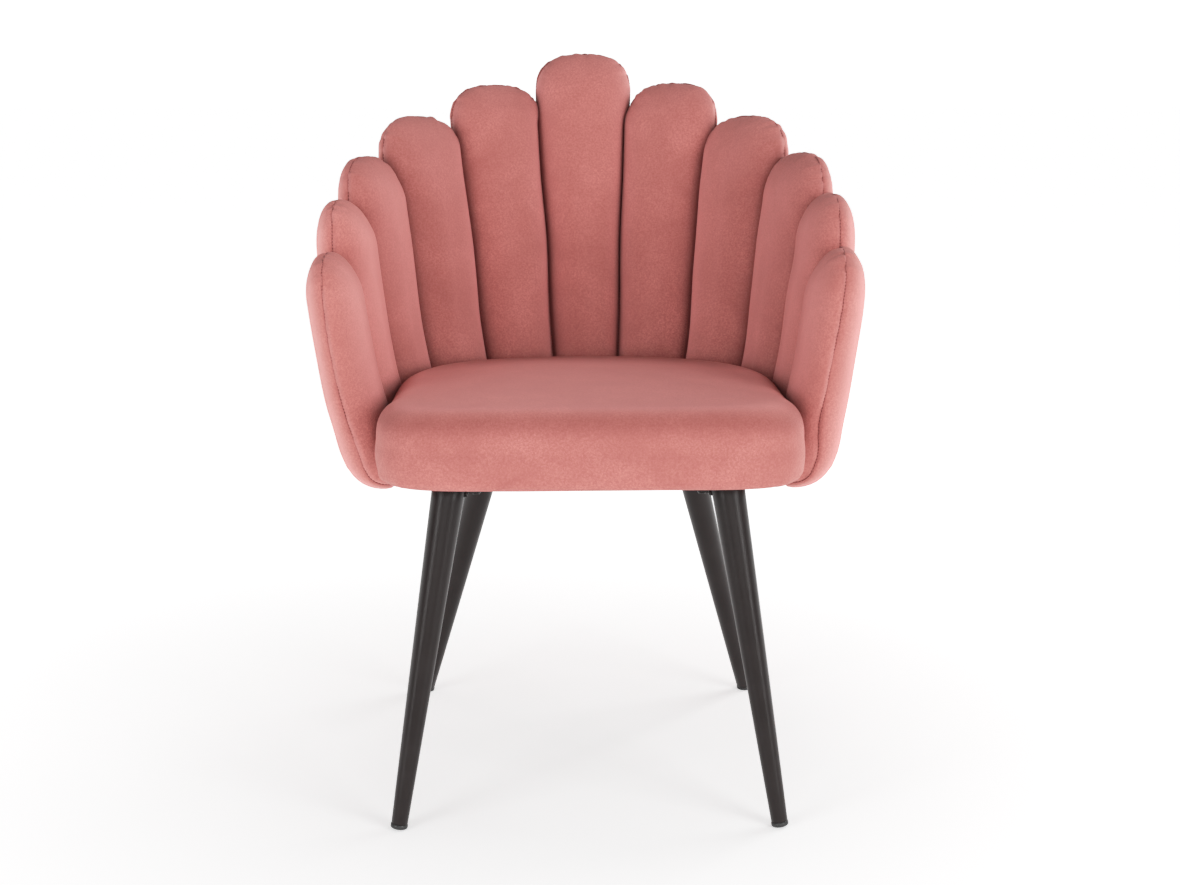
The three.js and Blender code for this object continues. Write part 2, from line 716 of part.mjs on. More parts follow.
// Grid of points on the shell behind a strap, let out sideways by a margin
function strapGrid(leg, heights, offset, margin) {
  const half_columns = (strap_width / 2 + margin) / columnSpacing(strap_z);
  return heights.map((height) =>
    [-1, 0, 1].map((share) => shellPoint(leg.column + share * half_columns, height, offset)),
  );
}

// The strap's flat run, let out all round by a margin
function strapFlat(leg, start, margin) {
  const along = leg.strap_end.clone().sub(leg.bolt);
  const reach = along.length() + shell_thickness;
  const flat = new THREE.BoxGeometry(reach - start, strap_width + 2 * margin, strap_thickness + 2 * margin);
  flat.translate((reach + start) / 2, 0, strap_z).rotateZ(Math.atan2(along.y, along.x));
  return solidOf(flat.translate(leg.bolt.x, leg.bolt.y, 0));
}

function strap(leg) {
  const heights = strap_row_shares.map((share) => strap_bottom + share * strap_upright);
  const upright = solidOf(slab(strapGrid(leg, heights, strap_face, 0), strapGrid(leg, heights, 0, 0)));
  return strapFlat(leg, -strap_tail, 0).add(upright).subtract(past_shell_face).subtract(bolt_room);
}

// Room in the petals for the strap and the rivet's head
function strapRoom(leg) {
  const depth = rivet_top + pad_clearance;
  const heights = [strap_bottom - cut_overrun, strap_bottom + strap_upright + pad_clearance];
  const grid = (offset) => strapGrid(leg, heights, offset, pad_clearance);
  return solidOf(slab(grid(depth), grid(0))).add(strapFlat(leg, 0, pad_clearance));
}

// Rivet through the strap's upright and the shell
const rivet_z = shell_bottom + rivet_height;
function onRivetAxis(leg, geometry) {
  const at = shellPoint(leg.column, rivet_z, 0);
  const inward = shellPoint(leg.column, rivet_z, shell_thickness).sub(at).normalize();
  const turn = new THREE.Quaternion().setFromUnitVectors(new THREE.Vector3(0, 0, 1), inward);
  return solidOf(geometry.applyQuaternion(turn).translate(at.x, at.y, at.z));
}

function rivet(leg) {
  const head_from = strap_face + clearance;
  const profile = [
    [0, seam_offset],
    [rivet_radius, seam_offset],
    [rivet_radius, head_from],
    [rivet_head_radius, head_from],
    [rivet_head_radius * rivet_dome_share, rivet_top],
    [0, rivet_top],
  ];
  return onRivetAxis(leg, turned(profile, bolt_sides));
}

function rivetRoom(leg) {
  const drill = rod(rivet_radius + clearance, seam_offset - cut_overrun, strap_face + cut_overrun);
  return onRivetAxis(leg, drill);
}

const rivet_rooms = wasm.Manifold.union(legs.map(rivetRoom));

for (const leg of legs) {
  place(leg.name + "_leg", legTube(leg), black_steel);
  place(leg.name + "_glide", glide(leg), black_plastic);
  place(leg.name + "_frame_bolt", frameBolt(leg), black_steel);
  place(leg.name + "_tee_nut", teeNut(leg), zinc);
  place(leg.name + "_strap", strap(leg).subtract(rivet_rooms), black_steel);
  place(leg.name + "_strap_rivet", rivet(leg), zinc);
}

// Back shell and petals
function shellBoard(margin) {
  const board = shellBand(shell_thickness / 2 + margin, seam_offset - margin, shell_bottom - margin);
  return board.subtract(shellTrim(margin));
}

place("back_shell", shellBoard(0).subtract(rivet_rooms).subtract(leg_room), plywood);

// The petals leave room for the board and the legs' tops.
const shell_room = shellBoard(pad_clearance).add(legRoom(pad_clearance));
const strap_rooms = wasm.Manifold.union(legs.map(strapRoom));
const seat_room = cushion(-pad_clearance, flange_bottom - pad_clearance).add(
  seatPrism(-pad_clearance, shell_bottom - seat_edge_radius, seat_base_height + seat_lower_radius),
);
for (let petal = 0; petal < petal_count; petal++) {
  const number = String(petal + 1).padStart(2, "0");
  const inner = innerPetal(petal).subtract(shell_room).subtract(seat_room).subtract(strap_rooms);
  place("inner_petal_" + number, largestBody(inner), velvet);
  place("outer_petal_" + number, largestBody(outerPetal(petal).subtract(shell_room)), velvet);
}

// Seat: fabric cover, foam, plywood board and the lining beneath
const inside = fabric_thickness + clearance;
const board_edge = seat_lower_radius + board_inset;
const flange_edge = board_edge + staple_flange;

function seatCover() {
  const cavity = cushion(fabric_thickness, flange_bottom + fabric_thickness);
  const mouth = seatPrism(flange_edge, flange_bottom - cut_overrun, seat_base_height + cut_overrun);
  return cushion(0, flange_bottom).subtract(cavity).subtract(mouth);
}

function seatFoam() {
  const bottom = seat_base_height - cut_overrun;
  const board_room = seatPrism(board_edge - clearance, bottom, board_top + clearance);
  return cushion(inside, seat_base_height).subtract(board_room);
}

function seatBoard() {
  const bottom = seat_base_height - cut_overrun;
  const flange_floor = board_top - tee_nut_flange_thickness - 2 * clearance;
  return seatPrism(board_edge, seat_base_height, board_top)
    .subtract(boltDrills(tee_nut_barrel_radius + clearance, bottom, board_top + cut_overrun))
    .subtract(boltDrills(tee_nut_flange_radius + clearance, flange_floor, board_top + cut_overrun));
}

function dustCover() {
  const top = seat_base_height - clearance;
  return seatPrism(flange_edge + clearance, top - dust_cover_thickness, top).subtract(bolt_room);
}

place("seat_cover", seatCover(), velvet);
place("seat_foam", seatFoam(), foam);
place("seat_board", seatBoard(), plywood);
place("dust_cover", dustCover(), lining);

// The origin goes to the middle of the chair's own footprint.
const centre = new THREE.Box3().setFromObject(chair).getCenter(new THREE.Vector3());
chair.position.set(-centre.x, -centre.y, 0);

export default chair;
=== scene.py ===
import math

import bpy
import numpy as np
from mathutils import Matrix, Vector, noise as mathnoise


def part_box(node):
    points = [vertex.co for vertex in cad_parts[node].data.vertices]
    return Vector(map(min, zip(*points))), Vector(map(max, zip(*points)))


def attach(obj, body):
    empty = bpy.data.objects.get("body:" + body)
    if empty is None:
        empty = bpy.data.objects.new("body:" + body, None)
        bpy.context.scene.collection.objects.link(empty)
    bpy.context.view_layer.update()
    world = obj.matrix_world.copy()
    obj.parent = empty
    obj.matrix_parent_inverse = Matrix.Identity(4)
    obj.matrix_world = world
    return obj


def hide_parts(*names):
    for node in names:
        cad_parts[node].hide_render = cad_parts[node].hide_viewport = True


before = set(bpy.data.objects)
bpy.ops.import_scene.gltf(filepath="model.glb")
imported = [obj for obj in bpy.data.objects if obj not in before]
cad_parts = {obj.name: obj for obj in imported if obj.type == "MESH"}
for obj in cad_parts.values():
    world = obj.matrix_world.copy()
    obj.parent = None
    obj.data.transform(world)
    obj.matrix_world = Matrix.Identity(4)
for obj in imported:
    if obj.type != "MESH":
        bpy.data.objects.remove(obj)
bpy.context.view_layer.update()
scene = bpy.context.scene

# Camera, fitted to the photograph
photo_width = 1180
photo_focal_pixels = 1764
sensor_width_mm = 36
camera_place = Vector((-0.029, -2.0445, 0.833))
camera_pitch = math.radians(12.28)
camera_heading = math.radians(-0.90)

# Shell, the surface that the petals stand on
seat_base_height = 0.402
back_height = 0.438
shell_bottom = 0.385
shell_top = seat_base_height + back_height
rim_half_width = 0.273
bowl_height = 0.255
bowl_tuck = 0.036
bowl_power = 2.2
widest_setback = 0.060
back_reach = 0.158
back_tuck = 0.022
back_recline = math.radians(14.5)
arm_reach = 0.178
arm_lean = math.radians(7.6)
plan_power = 2.3
plan_points = 241
height_step = 0.002
room_below = 0.03  # that the table of the shell keeps under its lower edge
room_above = 0.02
columns_per_petal = 24
cell_margin = 1.001  # which keeps a place inside the table's last cell

# Petals
petal_count = 11
# How the fabric of each tip differs a little from the even shape: its height, its left and right shoulders
tip_shifts = (-0.001, -0.002, -0.001, 0.001, 0.001, -0.001, 0, -0.004, -0.004, -0.003, -0.004)
left_shifts = (0, 0, 0, -0.007, 0.002, 0.002, 0.002, -0.005, -0.004, 0, 0.003)
right_shifts = (0, 0, 0, 0.006, 0.007, 0.005, 0.006, 0.010, 0.006, 0.005, -0.002)
crest_shares = (0.94, 1.06, 1, 1, 1, 1, 1, 1, 1, 1, 1)
# How far each petal swings outwards, from which height, and over which height
outward_swings = (0.002, 0.0025, 0.001, 0, 0, 0, 0, 0.003, 0.0045, 0.004, 0.001)
swing_heights = (0.41, 0.41, 0.45, 0.60, 0, 0, 0, 0.66, 0.60, 0.55, 0.50)
swing_reach = 0.07
# How far the grooves between the petals wander sideways above the seat, and halfway up
groove_columns = range(0, 2 * petal_count + 1, 2)
low_wanders = (0, 0, 0.006, -0.0025, -0.001, 0.001, 0, 0.0045, 0.004, 0, 0, 0)
middle_wanders = (0, 0, 0.004, 0.002, 0.0035, 0.0035, -0.002, 0, 0.001, 0.003, 0, 0)
low_wander_height = 0.48
middle_wander_height = 0.60
wander_reach = 0.10
shell_lean = math.radians(0.8)  # to the left, above the seat
lean_height = 0.42
lean_reach = 0.15
petal_waist_share = 0.13
tip_rise_shares = (1, 0.911, 0.829, 0.735, 0.641, 0.529)
arch_height = 0.055
arch_power = 2.6
inner_crest = 0.041  # from the seam's plane to the crown on the sitter's side
inner_groove = 0.007
outer_crest = 0.0236
outer_groove = 0.0096
inner_side_power = 2.8  # of the crown towards the middle of the chair, where it is fuller
outer_side_power = 1.75
crown_start_share = 0.26  # how much thinner a petal starts at its tip
crown_growth = 0.045  # and how far down it fills out
free_power = 2.2  # of the sides that no neighbour covers
groove_gap = -0.0002  # between neighbouring petals, which press on each other
roll_height = 0.014
roll_power = 3.2
outer_roll_height = 0.026
outer_roll_power = 1.4
low_swell = 0.003  # how much the outer face bulges just above its lower end
low_swell_height = 0.418
low_swell_reach = 0.022
outer_sag = 0.008
sag_power = 3
sag_power_share = 0.6
arm_drop = 0.0105  # how much lower the arms' lower ends reach at the front
arm_drop_height = 0.030
front_corner = 0.012  # rounding at the lower front corners of the arms
expose_height = 0.030  # over which a side rounds off above its neighbour
edge_crowding_share = 0.75  # how much closer the mesh is towards a petal's sides
across_count = 57
row_step = 0.0065
arch_rows = 34
roll_rows = 10
press_steps = 12  # of the search for where the seat stops a petal
seat_gap = 0.0006  # between the petals and the seat

# The seam between a petal's two faces, its stitches and its puckers
seam_offset = -0.004
seam_lip = 0.0002  # half the seam's opening
seam_dip = 0.0005  # its depth
seam_height = 0.3825  # along the petals' lower ends
seam_turn_height = 0.022  # over which the seam turns in towards the seat, at the lower end
seam_turn = 0.022
seam_turn_power = 3
right_seam_drift = 0.0095  # how much further in the right arm's front seam lies
drift_end_share = 0.5  # of it at the tip
drift_rise = 0.05
drift_top = 0.50
stitch_length = 0.0023
stitch_pitch = 0.0037
stitch_radius = 0.0005
stitch_sides = 6
stitch_shares = ((-0.5, 0.25), (-0.36, 0.8), (0, 1), (0.36, 0.8), (0.5, 0.25))  # place along it, and width
pucker_spacing = 0.0055
pucker_reach = 0.011
tip_pucker = 0.0014
side_pucker = 0.0004
wave_spacing = 0.045  # of the slow waves along a free edge
wave_depth = 0.0006
wave_seed = 50
dent_depth = 0.0014
dent_spacing = 0.07
dent_growth = 3  # how fast the dents set in from a petal's edge
dent_seed_steps = (7.3, 3.1, 5.7)  # how far apart the noises of two pieces are read

# Seat
seat_edge_radius = 0.040
seat_edge_power = 2.5
seat_lower_radius = 0.0095
seat_side_height = 0.036
seat_side_tuck = 0.0015
seat_crown = 0.010
seat_half_width = 0.2227
seat_back_reach = 0.1968
seat_front_reach = 0.243
seat_front_power = 7
seat_front_flare = 0.006
seat_slope = math.radians(1.6)
seat_rim = seat_base_height + seat_side_height + seat_edge_radius
seat_middle = (seat_back_reach - seat_front_reach) / 2 - widest_setback
seat_bottom = 0.4002
board_bottom = 0.402
flange_edge = 0.0378
seat_points = 220
flange_rings = 4
lower_rings = 7
side_rings = 9
edge_rings = 16
crown_rings = 30
seat_pull_height = 0.022
seat_pull_angle = 0.075
seat_pull_depth = 0.0014
fine_pull_share = 0.5
fine_pull_ratio = 2.6
seat_pull_seed = 71
seat_dent_seed = 40

# Base
leg_names = ("front_left", "front_right", "back_left", "back_right")
front_splays = (0.063, -0.059)
back_splays = (0.104, 0.122)
# How far the photographed legs' tops stand to the right of the even places, and their feet
leg_top_shifts = {"front_left": -0.0025, "back_right": 0.005}
leg_foot_shifts = {"front_left": -0.0012, "back_right": 0.0017}
front_top_radius = 0.0190
back_top_radius = 0.0200
leg_foot_radius = 0.0089
leg_wall = 0.0015
leg_end_round = 0.0006
leg_rings = 12
cut_depth = 0.00005
glide_lip = 0.0006
glide_dome = 0.0035
glide_flat = 0.0005
glide_height = 0.0063
glide_edge = 0.0005
glide_rings = 9
round_sides = 64
bar_width = 0.025
bar_height = 0.030
bead_radius = 0.0024
bead_end_radius = bead_radius / 3
bead_sides = 10
bead_step = 0.0006
bead_pitch = 0.0036
bead_ripple_share = 0.12
edge_rounding = 0.0016
small_rounding = 0.0005
rounding_segments = 3
rounding_angle = math.radians(35)
strap_half_width = 0.013
strap_clearance = 0.035

# Lining under the seat
lining_top = 0.40015
lining_thickness = 0.00012
lining_overlap = 0.008
lining_sag = 0.0022
lining_edge_shares = (0, 0.01, 0.02, 0.035, 0.05, 0.07, 0.1, 0.14, 0.19)
lining_shares = (*lining_edge_shares, 0.25, 0.32, 0.4, 0.5, 0.6, 0.7, 0.8, 0.9, 0.97)
sag_growth = 2  # how fast the sag and the folds set in from the edge
fold_growth = 12
fold_fade_share = 0.18
fold_count = 46
fold_depth = 0.0009
fold_wander = 2
fold_wander_angle = 0.8
fold_seed = 31
staple_inset = 0.003
staple_pitch = 0.038
staple_length = 0.010
staple_radius = 0.00045

source_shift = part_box("seat_cover")[0].y + widest_setback + seat_front_reach


def smoothstep(share):
    share = np.clip(share, 0, 1)
    return share * share * (3 - 2 * share)


def oval(share, power):
    return np.maximum(0, 1 - np.abs(share) ** power) ** (1 / power)


# Mesh helpers
def piece(name, points, faces, material, replaced=()):
    mesh = bpy.data.meshes.new(name)
    mesh.from_pydata([tuple(p) for p in points], [], [tuple(f) for f in faces])
    mesh.validate()
    mesh.polygons.foreach_set("use_smooth", [True] * len(mesh.polygons))
    mesh.materials.append(material)
    made = bpy.data.objects.new(name, mesh)
    scene.collection.objects.link(made)
    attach(made, "root")
    if replaced:
        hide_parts(*replaced)
    return made


def grid_faces(rows, columns, start=0, closed=False, flipped=False):
    """Quads of a grid of points that is stored row by row."""
    faces = []
    for r in range(rows - 1):
        for c in range(columns if closed else columns - 1):
            after = (c + 1) % columns
            quad = [r * columns + c, r * columns + after, (r + 1) * columns + after, (r + 1) * columns + c]
            faces.append([start + k for k in (reversed(quad) if flipped else quad)])
    return faces


def ring(centre, side, up, radius, sides):
    turn = 2 * math.pi * np.arange(sides) / sides
    return [centre + (side * math.cos(angle) + up * math.sin(angle)) * radius for angle in turn]


def tube_faces(rings, sides, start=0):
    """Faces of a tube of rings, with its two ends closed."""
    faces = grid_faces(rings, sides, start=start, closed=True)
    faces.append([start + k for k in reversed(range(sides))])
    faces.append([start + (rings - 1) * sides + k for k in range(sides)])
    return faces


def joined(first, second):
    """Quads between two closed rings, each a list of point numbers."""
    return list(zip(first, np.roll(first, -1), np.roll(second, -1), second))


def mesh_table(items, key):
    table = np.zeros(3 * len(items), np.float32)
    items.foreach_get(key, table)
    return table.reshape(-1, 3).astype(float)


def mesh_points(mesh):
    return mesh_table(mesh.vertices, "co")


def set_points(made, points):
    made.data.vertices.foreach_set("co", points.astype(np.float32).ravel())
    made.data.update()


def swell(made, amounts):
    """Moves each point of a piece along its normal."""
    normals = mesh_table(made.data.vertex_normals, "vector")
    set_points(made, mesh_points(made.data) + normals * np.asarray(amounts)[:, None])


def dents(points, spacing, seed):
    """Smooth uneven places, from -1 to 1, at points in space."""
    shift = Vector([seed * step for step in dent_seed_steps])
    return np.array([mathnoise.noise(Vector(p) / spacing + shift) for p in points])


def line_noise(places, spacing, seed):
    """Smooth noise from -1 to 1 along a line."""
    count = 4096
    values = np.random.default_rng(seed).uniform(-1, 1, count)
    at = np.asarray(places) / spacing + count / 2
    low = np.floor(at).astype(int)
    return values[low % count] + (values[(low + 1) % count] - values[low % count]) * smoothstep(at - low)


# The shell's surface as a table over height and column. A petal's edges are even columns, its middle odd
def plan_line(z):
    bowl = max(0, 1 - (z - shell_bottom) / bowl_height) ** bowl_power
    half_width = rim_half_width - bowl_tuck * bowl
    back = back_reach + (z - shell_bottom) * math.tan(back_recline) - back_tuck * bowl + widest_setback
    front = -arm_reach - (z - shell_bottom) * math.tan(arm_lean)
    angle = np.linspace(math.pi, 0, plan_points)
    c, s = np.cos(angle), np.sin(angle)
    x = half_width * np.sign(c) * np.abs(c) ** (2 / plan_power)
    y = back * np.maximum(s, 0) ** (2 / plan_power) - widest_setback
    return np.vstack([[(-half_width, front)], np.column_stack([x, y]), [(half_width, front)]])


class Shell:
    def __init__(self):
        self.low = shell_bottom - room_below
        self.heights = np.arange(self.low, shell_top + room_above, height_step)
        self.columns = np.linspace(0, 2 * petal_count, columns_per_petal * petal_count + 1)
        self.lengths = []
        rows = []
        for z in self.heights:
            line = plan_line(z)
            along = np.concatenate([[0], np.cumsum(np.hypot(*np.diff(line, axis=0).T))])
            self.lengths.append(along[-1])
            side = self.columns / (2 * petal_count) - 1 / 2
            waist = petal_waist_share * (1 - (z - shell_bottom) / (shell_top - shell_bottom))
            at = (side * (1 - waist * (1 - 2 * np.abs(side))) + 1 / 2) * along[-1]
            x, y = np.interp(at, along, line[:, 0]), np.interp(at, along, line[:, 1])
            rows.append(np.column_stack([x, y + source_shift, np.full(len(x), z)]))
        self.places = np.array(rows)
        upward, across = np.gradient(self.places, axis=(0, 1))
        normals = np.cross(across, upward)
        self.normals = normals / np.linalg.norm(normals, axis=2, keepdims=True)

    def spacing(self, z):
        return np.interp(z, self.heights, self.lengths) / (2 * petal_count)

    def at(self, columns, z, offset):
        """Points at arrays of columns, heights and offsets, the last positive towards the sitter."""
        columns, z, offset = np.broadcast_arrays(columns, z, offset)
        across = np.clip(columns * columns_per_petal / 2, 0, len(self.columns) - cell_margin)
        up = np.clip((z - self.low) / height_step, 0, len(self.heights) - cell_margin)
        c, r = np.floor(across).astype(int), np.floor(up).astype(int)
        fc, fr = (across - c)[..., None], (up - r)[..., None]

        def mixed(table):
            low = table[r, c] * (1 - fc) + table[r, c + 1] * fc
            high = table[r + 1, c] * (1 - fc) + table[r + 1, c + 1] * fc
            return low * (1 - fr) + high * fr

        past = (columns - np.clip(columns, 0, 2 * petal_count))[..., None] * self.spacing(z)[..., None]
        forward = np.where(columns[..., None] < 1, 1.0, -1.0) * past * np.array([0, 1.0, 0])
        return mixed(self.places) + forward + mixed(self.normals) * offset[..., None]


shell = Shell()


# Petals: each is one closed pillow, with the sitter's face and the outer face meeting at a sewn seam
def tip_height(petal):
    return seat_base_height + back_height * tip_rise_shares[abs(petal - petal_count // 2)] + tip_shifts[petal]


def inside_seat(points):
    """True for the points that lie in the seat cushion, let out by the gap to the petals."""
    x, y = np.abs(points[..., 0]), points[..., 1] - source_shift + widest_setback
    rim = seat_rim - y * math.tan(seat_slope)
    top = np.clip((points[..., 2] - rim + seat_edge_radius) / seat_edge_radius, 0, 1)
    low = np.clip((seat_bottom + seat_lower_radius - points[..., 2]) / seat_lower_radius, 0, 1)
    inset = seat_edge_radius * (1 - oval(top, seat_edge_power)) - seat_gap
    inset = inset + seat_lower_radius * (1 - oval(low, 2))
    reach = np.where(y > 0, seat_back_reach, seat_front_reach) - inset
    power = np.where(y > 0, plan_power, seat_front_power)
    flare = seat_front_flare * smoothstep((widest_setback - y - arm_reach) / seat_edge_radius)
    level = (x / (seat_half_width + flare - inset)) ** power + np.abs(y / reach) ** power
    return (level < 1) & (points[..., 2] > seat_bottom) & (points[..., 2] < rim)


def is_free(petal, side):
    return not 0 <= petal + side < petal_count


def free_sides(petal, x):
    return np.where(x < 0, is_free(petal, -1), is_free(petal, 1))


def petal_domain(petal):
    """Across shares, heights and roundness of the petal's grid, from its lower end up to its tip."""
    turn = np.linspace(-1, 1, across_count)
    across = edge_crowding_share * np.sin(turn * math.pi / 2) + (1 - edge_crowding_share) * turn
    spring = tip_height(petal) - arch_height
    roll = np.linspace(1, 0, roll_rows)
    start = seam_height + roll_height
    straight = np.linspace(start, spring, round((spring - start) / row_step))[1:]
    climb = np.sin(np.linspace(0, 1, arch_rows)[1:] * math.pi / 2)
    corner = 2 ** (1 / arch_power)
    level = np.concatenate([start - roll_height * np.sin(roll * math.pi / 2), straight])
    arch = spring + arch_height * climb[:, None] * oval(across / corner, arch_power)
    z = np.vstack([np.tile(level[:, None], across_count), arch])
    rise = np.concatenate([np.zeros(len(level)), climb])
    rolls = np.concatenate([roll, np.zeros(len(straight) + len(climb))])
    x = across * oval(rise / corner, arch_power)[:, None]
    covered = (1 - np.abs(across) ** arch_power)[None, :] * (1 - rise**arch_power)[:, None]
    roundness = np.maximum(0, 1 - covered) ** (1 / arch_power)
    return x, z, roundness, rolls


def side_share(petal, side, z):
    """1 where one side of a petal stands free of its neighbour, 0 where the two touch."""
    if is_free(petal, side):
        return np.ones_like(z)
    start = min(tip_height(petal), tip_height(petal + side)) - arch_height
    return smoothstep((z - start) / expose_height)


def bare_share(petal, x, z):
    mix = smoothstep((x + 1) / 2)
    return side_share(petal, -1, z) * (1 - mix) + side_share(petal, 1, z) * mix


def seam_shift(petal, x, z):
    """How far the seam lies in front of its plane: near the lower end, and along the right arm's front."""
    shift = seam_turn * np.clip(1 - (z - seam_height) / seam_turn_height, 0, 1) ** seam_turn_power
    if not is_free(petal, 1):
        return shift
    rising = smoothstep((z - seam_height - seam_turn_height) / drift_rise)
    ending = smoothstep((z - drift_top) / (tip_height(petal) - drift_top))
    drift = rising * (1 - (1 - drift_end_share) * ending)
    return shift + right_seam_drift * drift * smoothstep((x + 1) / 2)


def petal_points(petal, x, z, offset, drop=0):
    """Points of one petal. Its lower front corner rounds off on a free side."""
    depth = np.clip((seam_height + front_corner - z) / front_corner, 0, 1)
    cut = front_corner * (1 - np.sqrt(1 - depth**2)) / shell.spacing(z)
    reach = 1 - groove_gap / 2 / shell.spacing(z)
    ahead = np.where(is_free(petal, -1), -x, x) if is_free(petal, -1) or is_free(petal, 1) else -1
    low = np.clip(1 - (z - seam_height) / arm_drop_height, 0, 1)
    drop = drop + arm_drop * smoothstep(ahead + 1) * smoothstep(low)
    mix = (x + 1) / 2
    shift = left_shifts[petal] * (1 - mix) * side_share(petal, -1, z)
    shift = shift + right_shifts[petal] * mix * side_share(petal, 1, z)
    columns = 2 * petal + 1 + x * (reach - free_sides(petal, x) * cut)
    for wanders, height in ((low_wanders, low_wander_height), (middle_wanders, middle_wander_height)):
        near = smoothstep(1 - np.abs(z - height) / wander_reach)
        shift = shift + np.interp(columns, groove_columns, wanders) * near
    swing = outward_swings[petal] * smoothstep((z - swing_heights[petal]) / swing_reach)
    points = shell.at(columns + shift / shell.spacing(z), z - drop, offset - swing)
    raised = points[..., 0] * smoothstep((points[..., 2] - lean_height) / lean_reach)
    lean = np.stack([lean_height - points[..., 2], np.zeros_like(raised), raised], axis=-1)
    return points + math.tan(shell_lean) * lean


def seam_places(petal, x, z):
    """How far along the seam's outline the nearest part of it lies, round the tip from side to side."""
    spring = tip_height(petal) - arch_height
    angle = np.arctan2(np.maximum(z - spring, 0) / arch_height, x)
    down = np.maximum(spring - z, 0)
    return angle * (arch_height + shell.spacing(z)) / 2 + np.where(x < 0, down, -down)


def pressed_back(petal, x, z, offset):
    """Where the seat lies against a petal, its face goes only as far as the seat."""
    near, far = np.full_like(offset, seam_offset), offset.copy()
    pressed = inside_seat(petal_points(petal, x, z, offset))
    for _ in range(press_steps):
        middle = (near + far) / 2
        inside = inside_seat(petal_points(petal, x, z, middle))
        far = np.where(inside, middle, far)
        near = np.where(inside, near, middle)
    return np.where(pressed, near, offset)


def petal_faces(index, x, z, roundness, rolls):
    """The sitter's face and the outer face of a petal, as two grids of points."""
    bare = bare_share(index, x, z)
    inner_side = x > 0 if index <= petal_count // 2 else x < 0
    power = np.where(inner_side, inner_side_power, outer_side_power)

    def depth(crest, groove):
        sewn = groove + (crest - groove) * oval(x, power)
        return sewn * (1 - bare) + crest * oval(roundness, free_power) * bare

    shift = seam_shift(index, x, z)
    below = np.maximum(0, tip_height(index) - z)
    thin = 1 - crown_start_share * np.exp(-below / crown_growth)
    full_inner = depth(inner_crest * crest_shares[index], inner_groove) * thin * (1 - shift / inner_crest)
    inner = seam_offset + shift + seam_lip + full_inner * oval(rolls, roll_power)[:, None]
    inner = pressed_back(index, x, z, inner)

    curl = np.clip(1 - (z - seam_height) / outer_roll_height, 0, 1)
    low = np.exp(-((z - low_swell_height) / low_swell_reach) ** 2)
    full_outer = depth(outer_crest, outer_groove) * (1 + shift / outer_crest)
    full_outer = full_outer + low_swell * low * oval(x, free_power)
    outer = seam_offset + shift - seam_lip - full_outer * np.cos(curl**outer_roll_power * math.pi / 2)
    loose = np.where(free_sides(index, x), oval(x, sag_power), 1)
    sag = outer_sag * np.sin(math.pi * rolls**2)[:, None] ** sag_power_share * loose
    return petal_points(index, x, z, inner), petal_points(index, x, z, outer, drop=sag)


def outline_ring(rows):
    """Rows and columns of the grid's outline: the lower end, the right side, the tip and the left side."""
    outline = [(0, c) for c in range(across_count)]
    outline += [(r, across_count - 1) for r in range(1, rows)]
    outline += [(rows - 1, c) for c in range(across_count - 2, -1, -1)]
    outline += [(r, 0) for r in range(rows - 2, 0, -1)]
    return np.array(outline).T


def seam_bottom(index, x, z):
    """The bottom of the seam's fold, a little inside the petal's outline."""
    middle_z = np.clip(z, seam_height + front_corner, tip_height(index) - arch_height)
    inward = np.column_stack([-x * shell.spacing(z), middle_z - z])
    inward *= seam_dip / np.linalg.norm(inward, axis=1, keepdims=True)
    x = x + inward[:, 0] / shell.spacing(z)
    z = z + inward[:, 1]
    return petal_points(index, x, z, seam_offset + seam_shift(index, x, z))


def unevenness(index, x, z, roundness, points, seam_count):
    """How far each point of a petal moves outwards: puckers and waves from a free seam, and soft dents."""
    bare = bare_share(index, x, z)
    away = (1 - roundness) * shell.spacing(z)
    along = seam_places(index, x, z)
    curved = smoothstep((z - tip_height(index) + arch_height) / arch_height)
    height = side_pucker + (tip_pucker - side_pucker) * curved
    pucker = line_noise(along, pucker_spacing, index) * np.exp(-away / pucker_reach) * bare * height
    ripple = (pucker + wave_depth * line_noise(along, wave_spacing, index + wave_seed) * bare).ravel()
    inland = (1 - roundness).ravel()
    still = np.zeros(seam_count)
    dented = np.minimum(1, np.concatenate([inland, inland, still]) * dent_growth)
    return np.concatenate([ripple, -ripple, still]) + dent_depth * dents(points, dent_spacing, index) * dented


def stitches(petal, path, material):
    """Sewn stitches in a row along a seam, as one piece."""
    steps = np.linalg.norm(np.diff(path, axis=0), axis=1)
    along = np.concatenate([[0], np.cumsum(steps)])

    def place_at(distance):
        return np.array([np.interp(distance, along, path[:, k]) for k in range(3)])

    points, faces = [], []
    for centre in np.arange(stitch_pitch / 2, along[-1], stitch_pitch):
        middle = Vector(place_at(centre))
        way = Vector(place_at(centre + stitch_pitch / 2) - place_at(centre - stitch_pitch / 2)).normalized()
        side = way.orthogonal().normalized()
        up = way.cross(side)
        faces += tube_faces(len(stitch_shares), stitch_sides, len(points))
        for place, width in stitch_shares:
            spot = middle + way * place * stitch_length
            points += ring(spot, side, up, stitch_radius * width, stitch_sides)
    piece(f"petal_{petal + 1:02d}_stitches", points, faces, material)


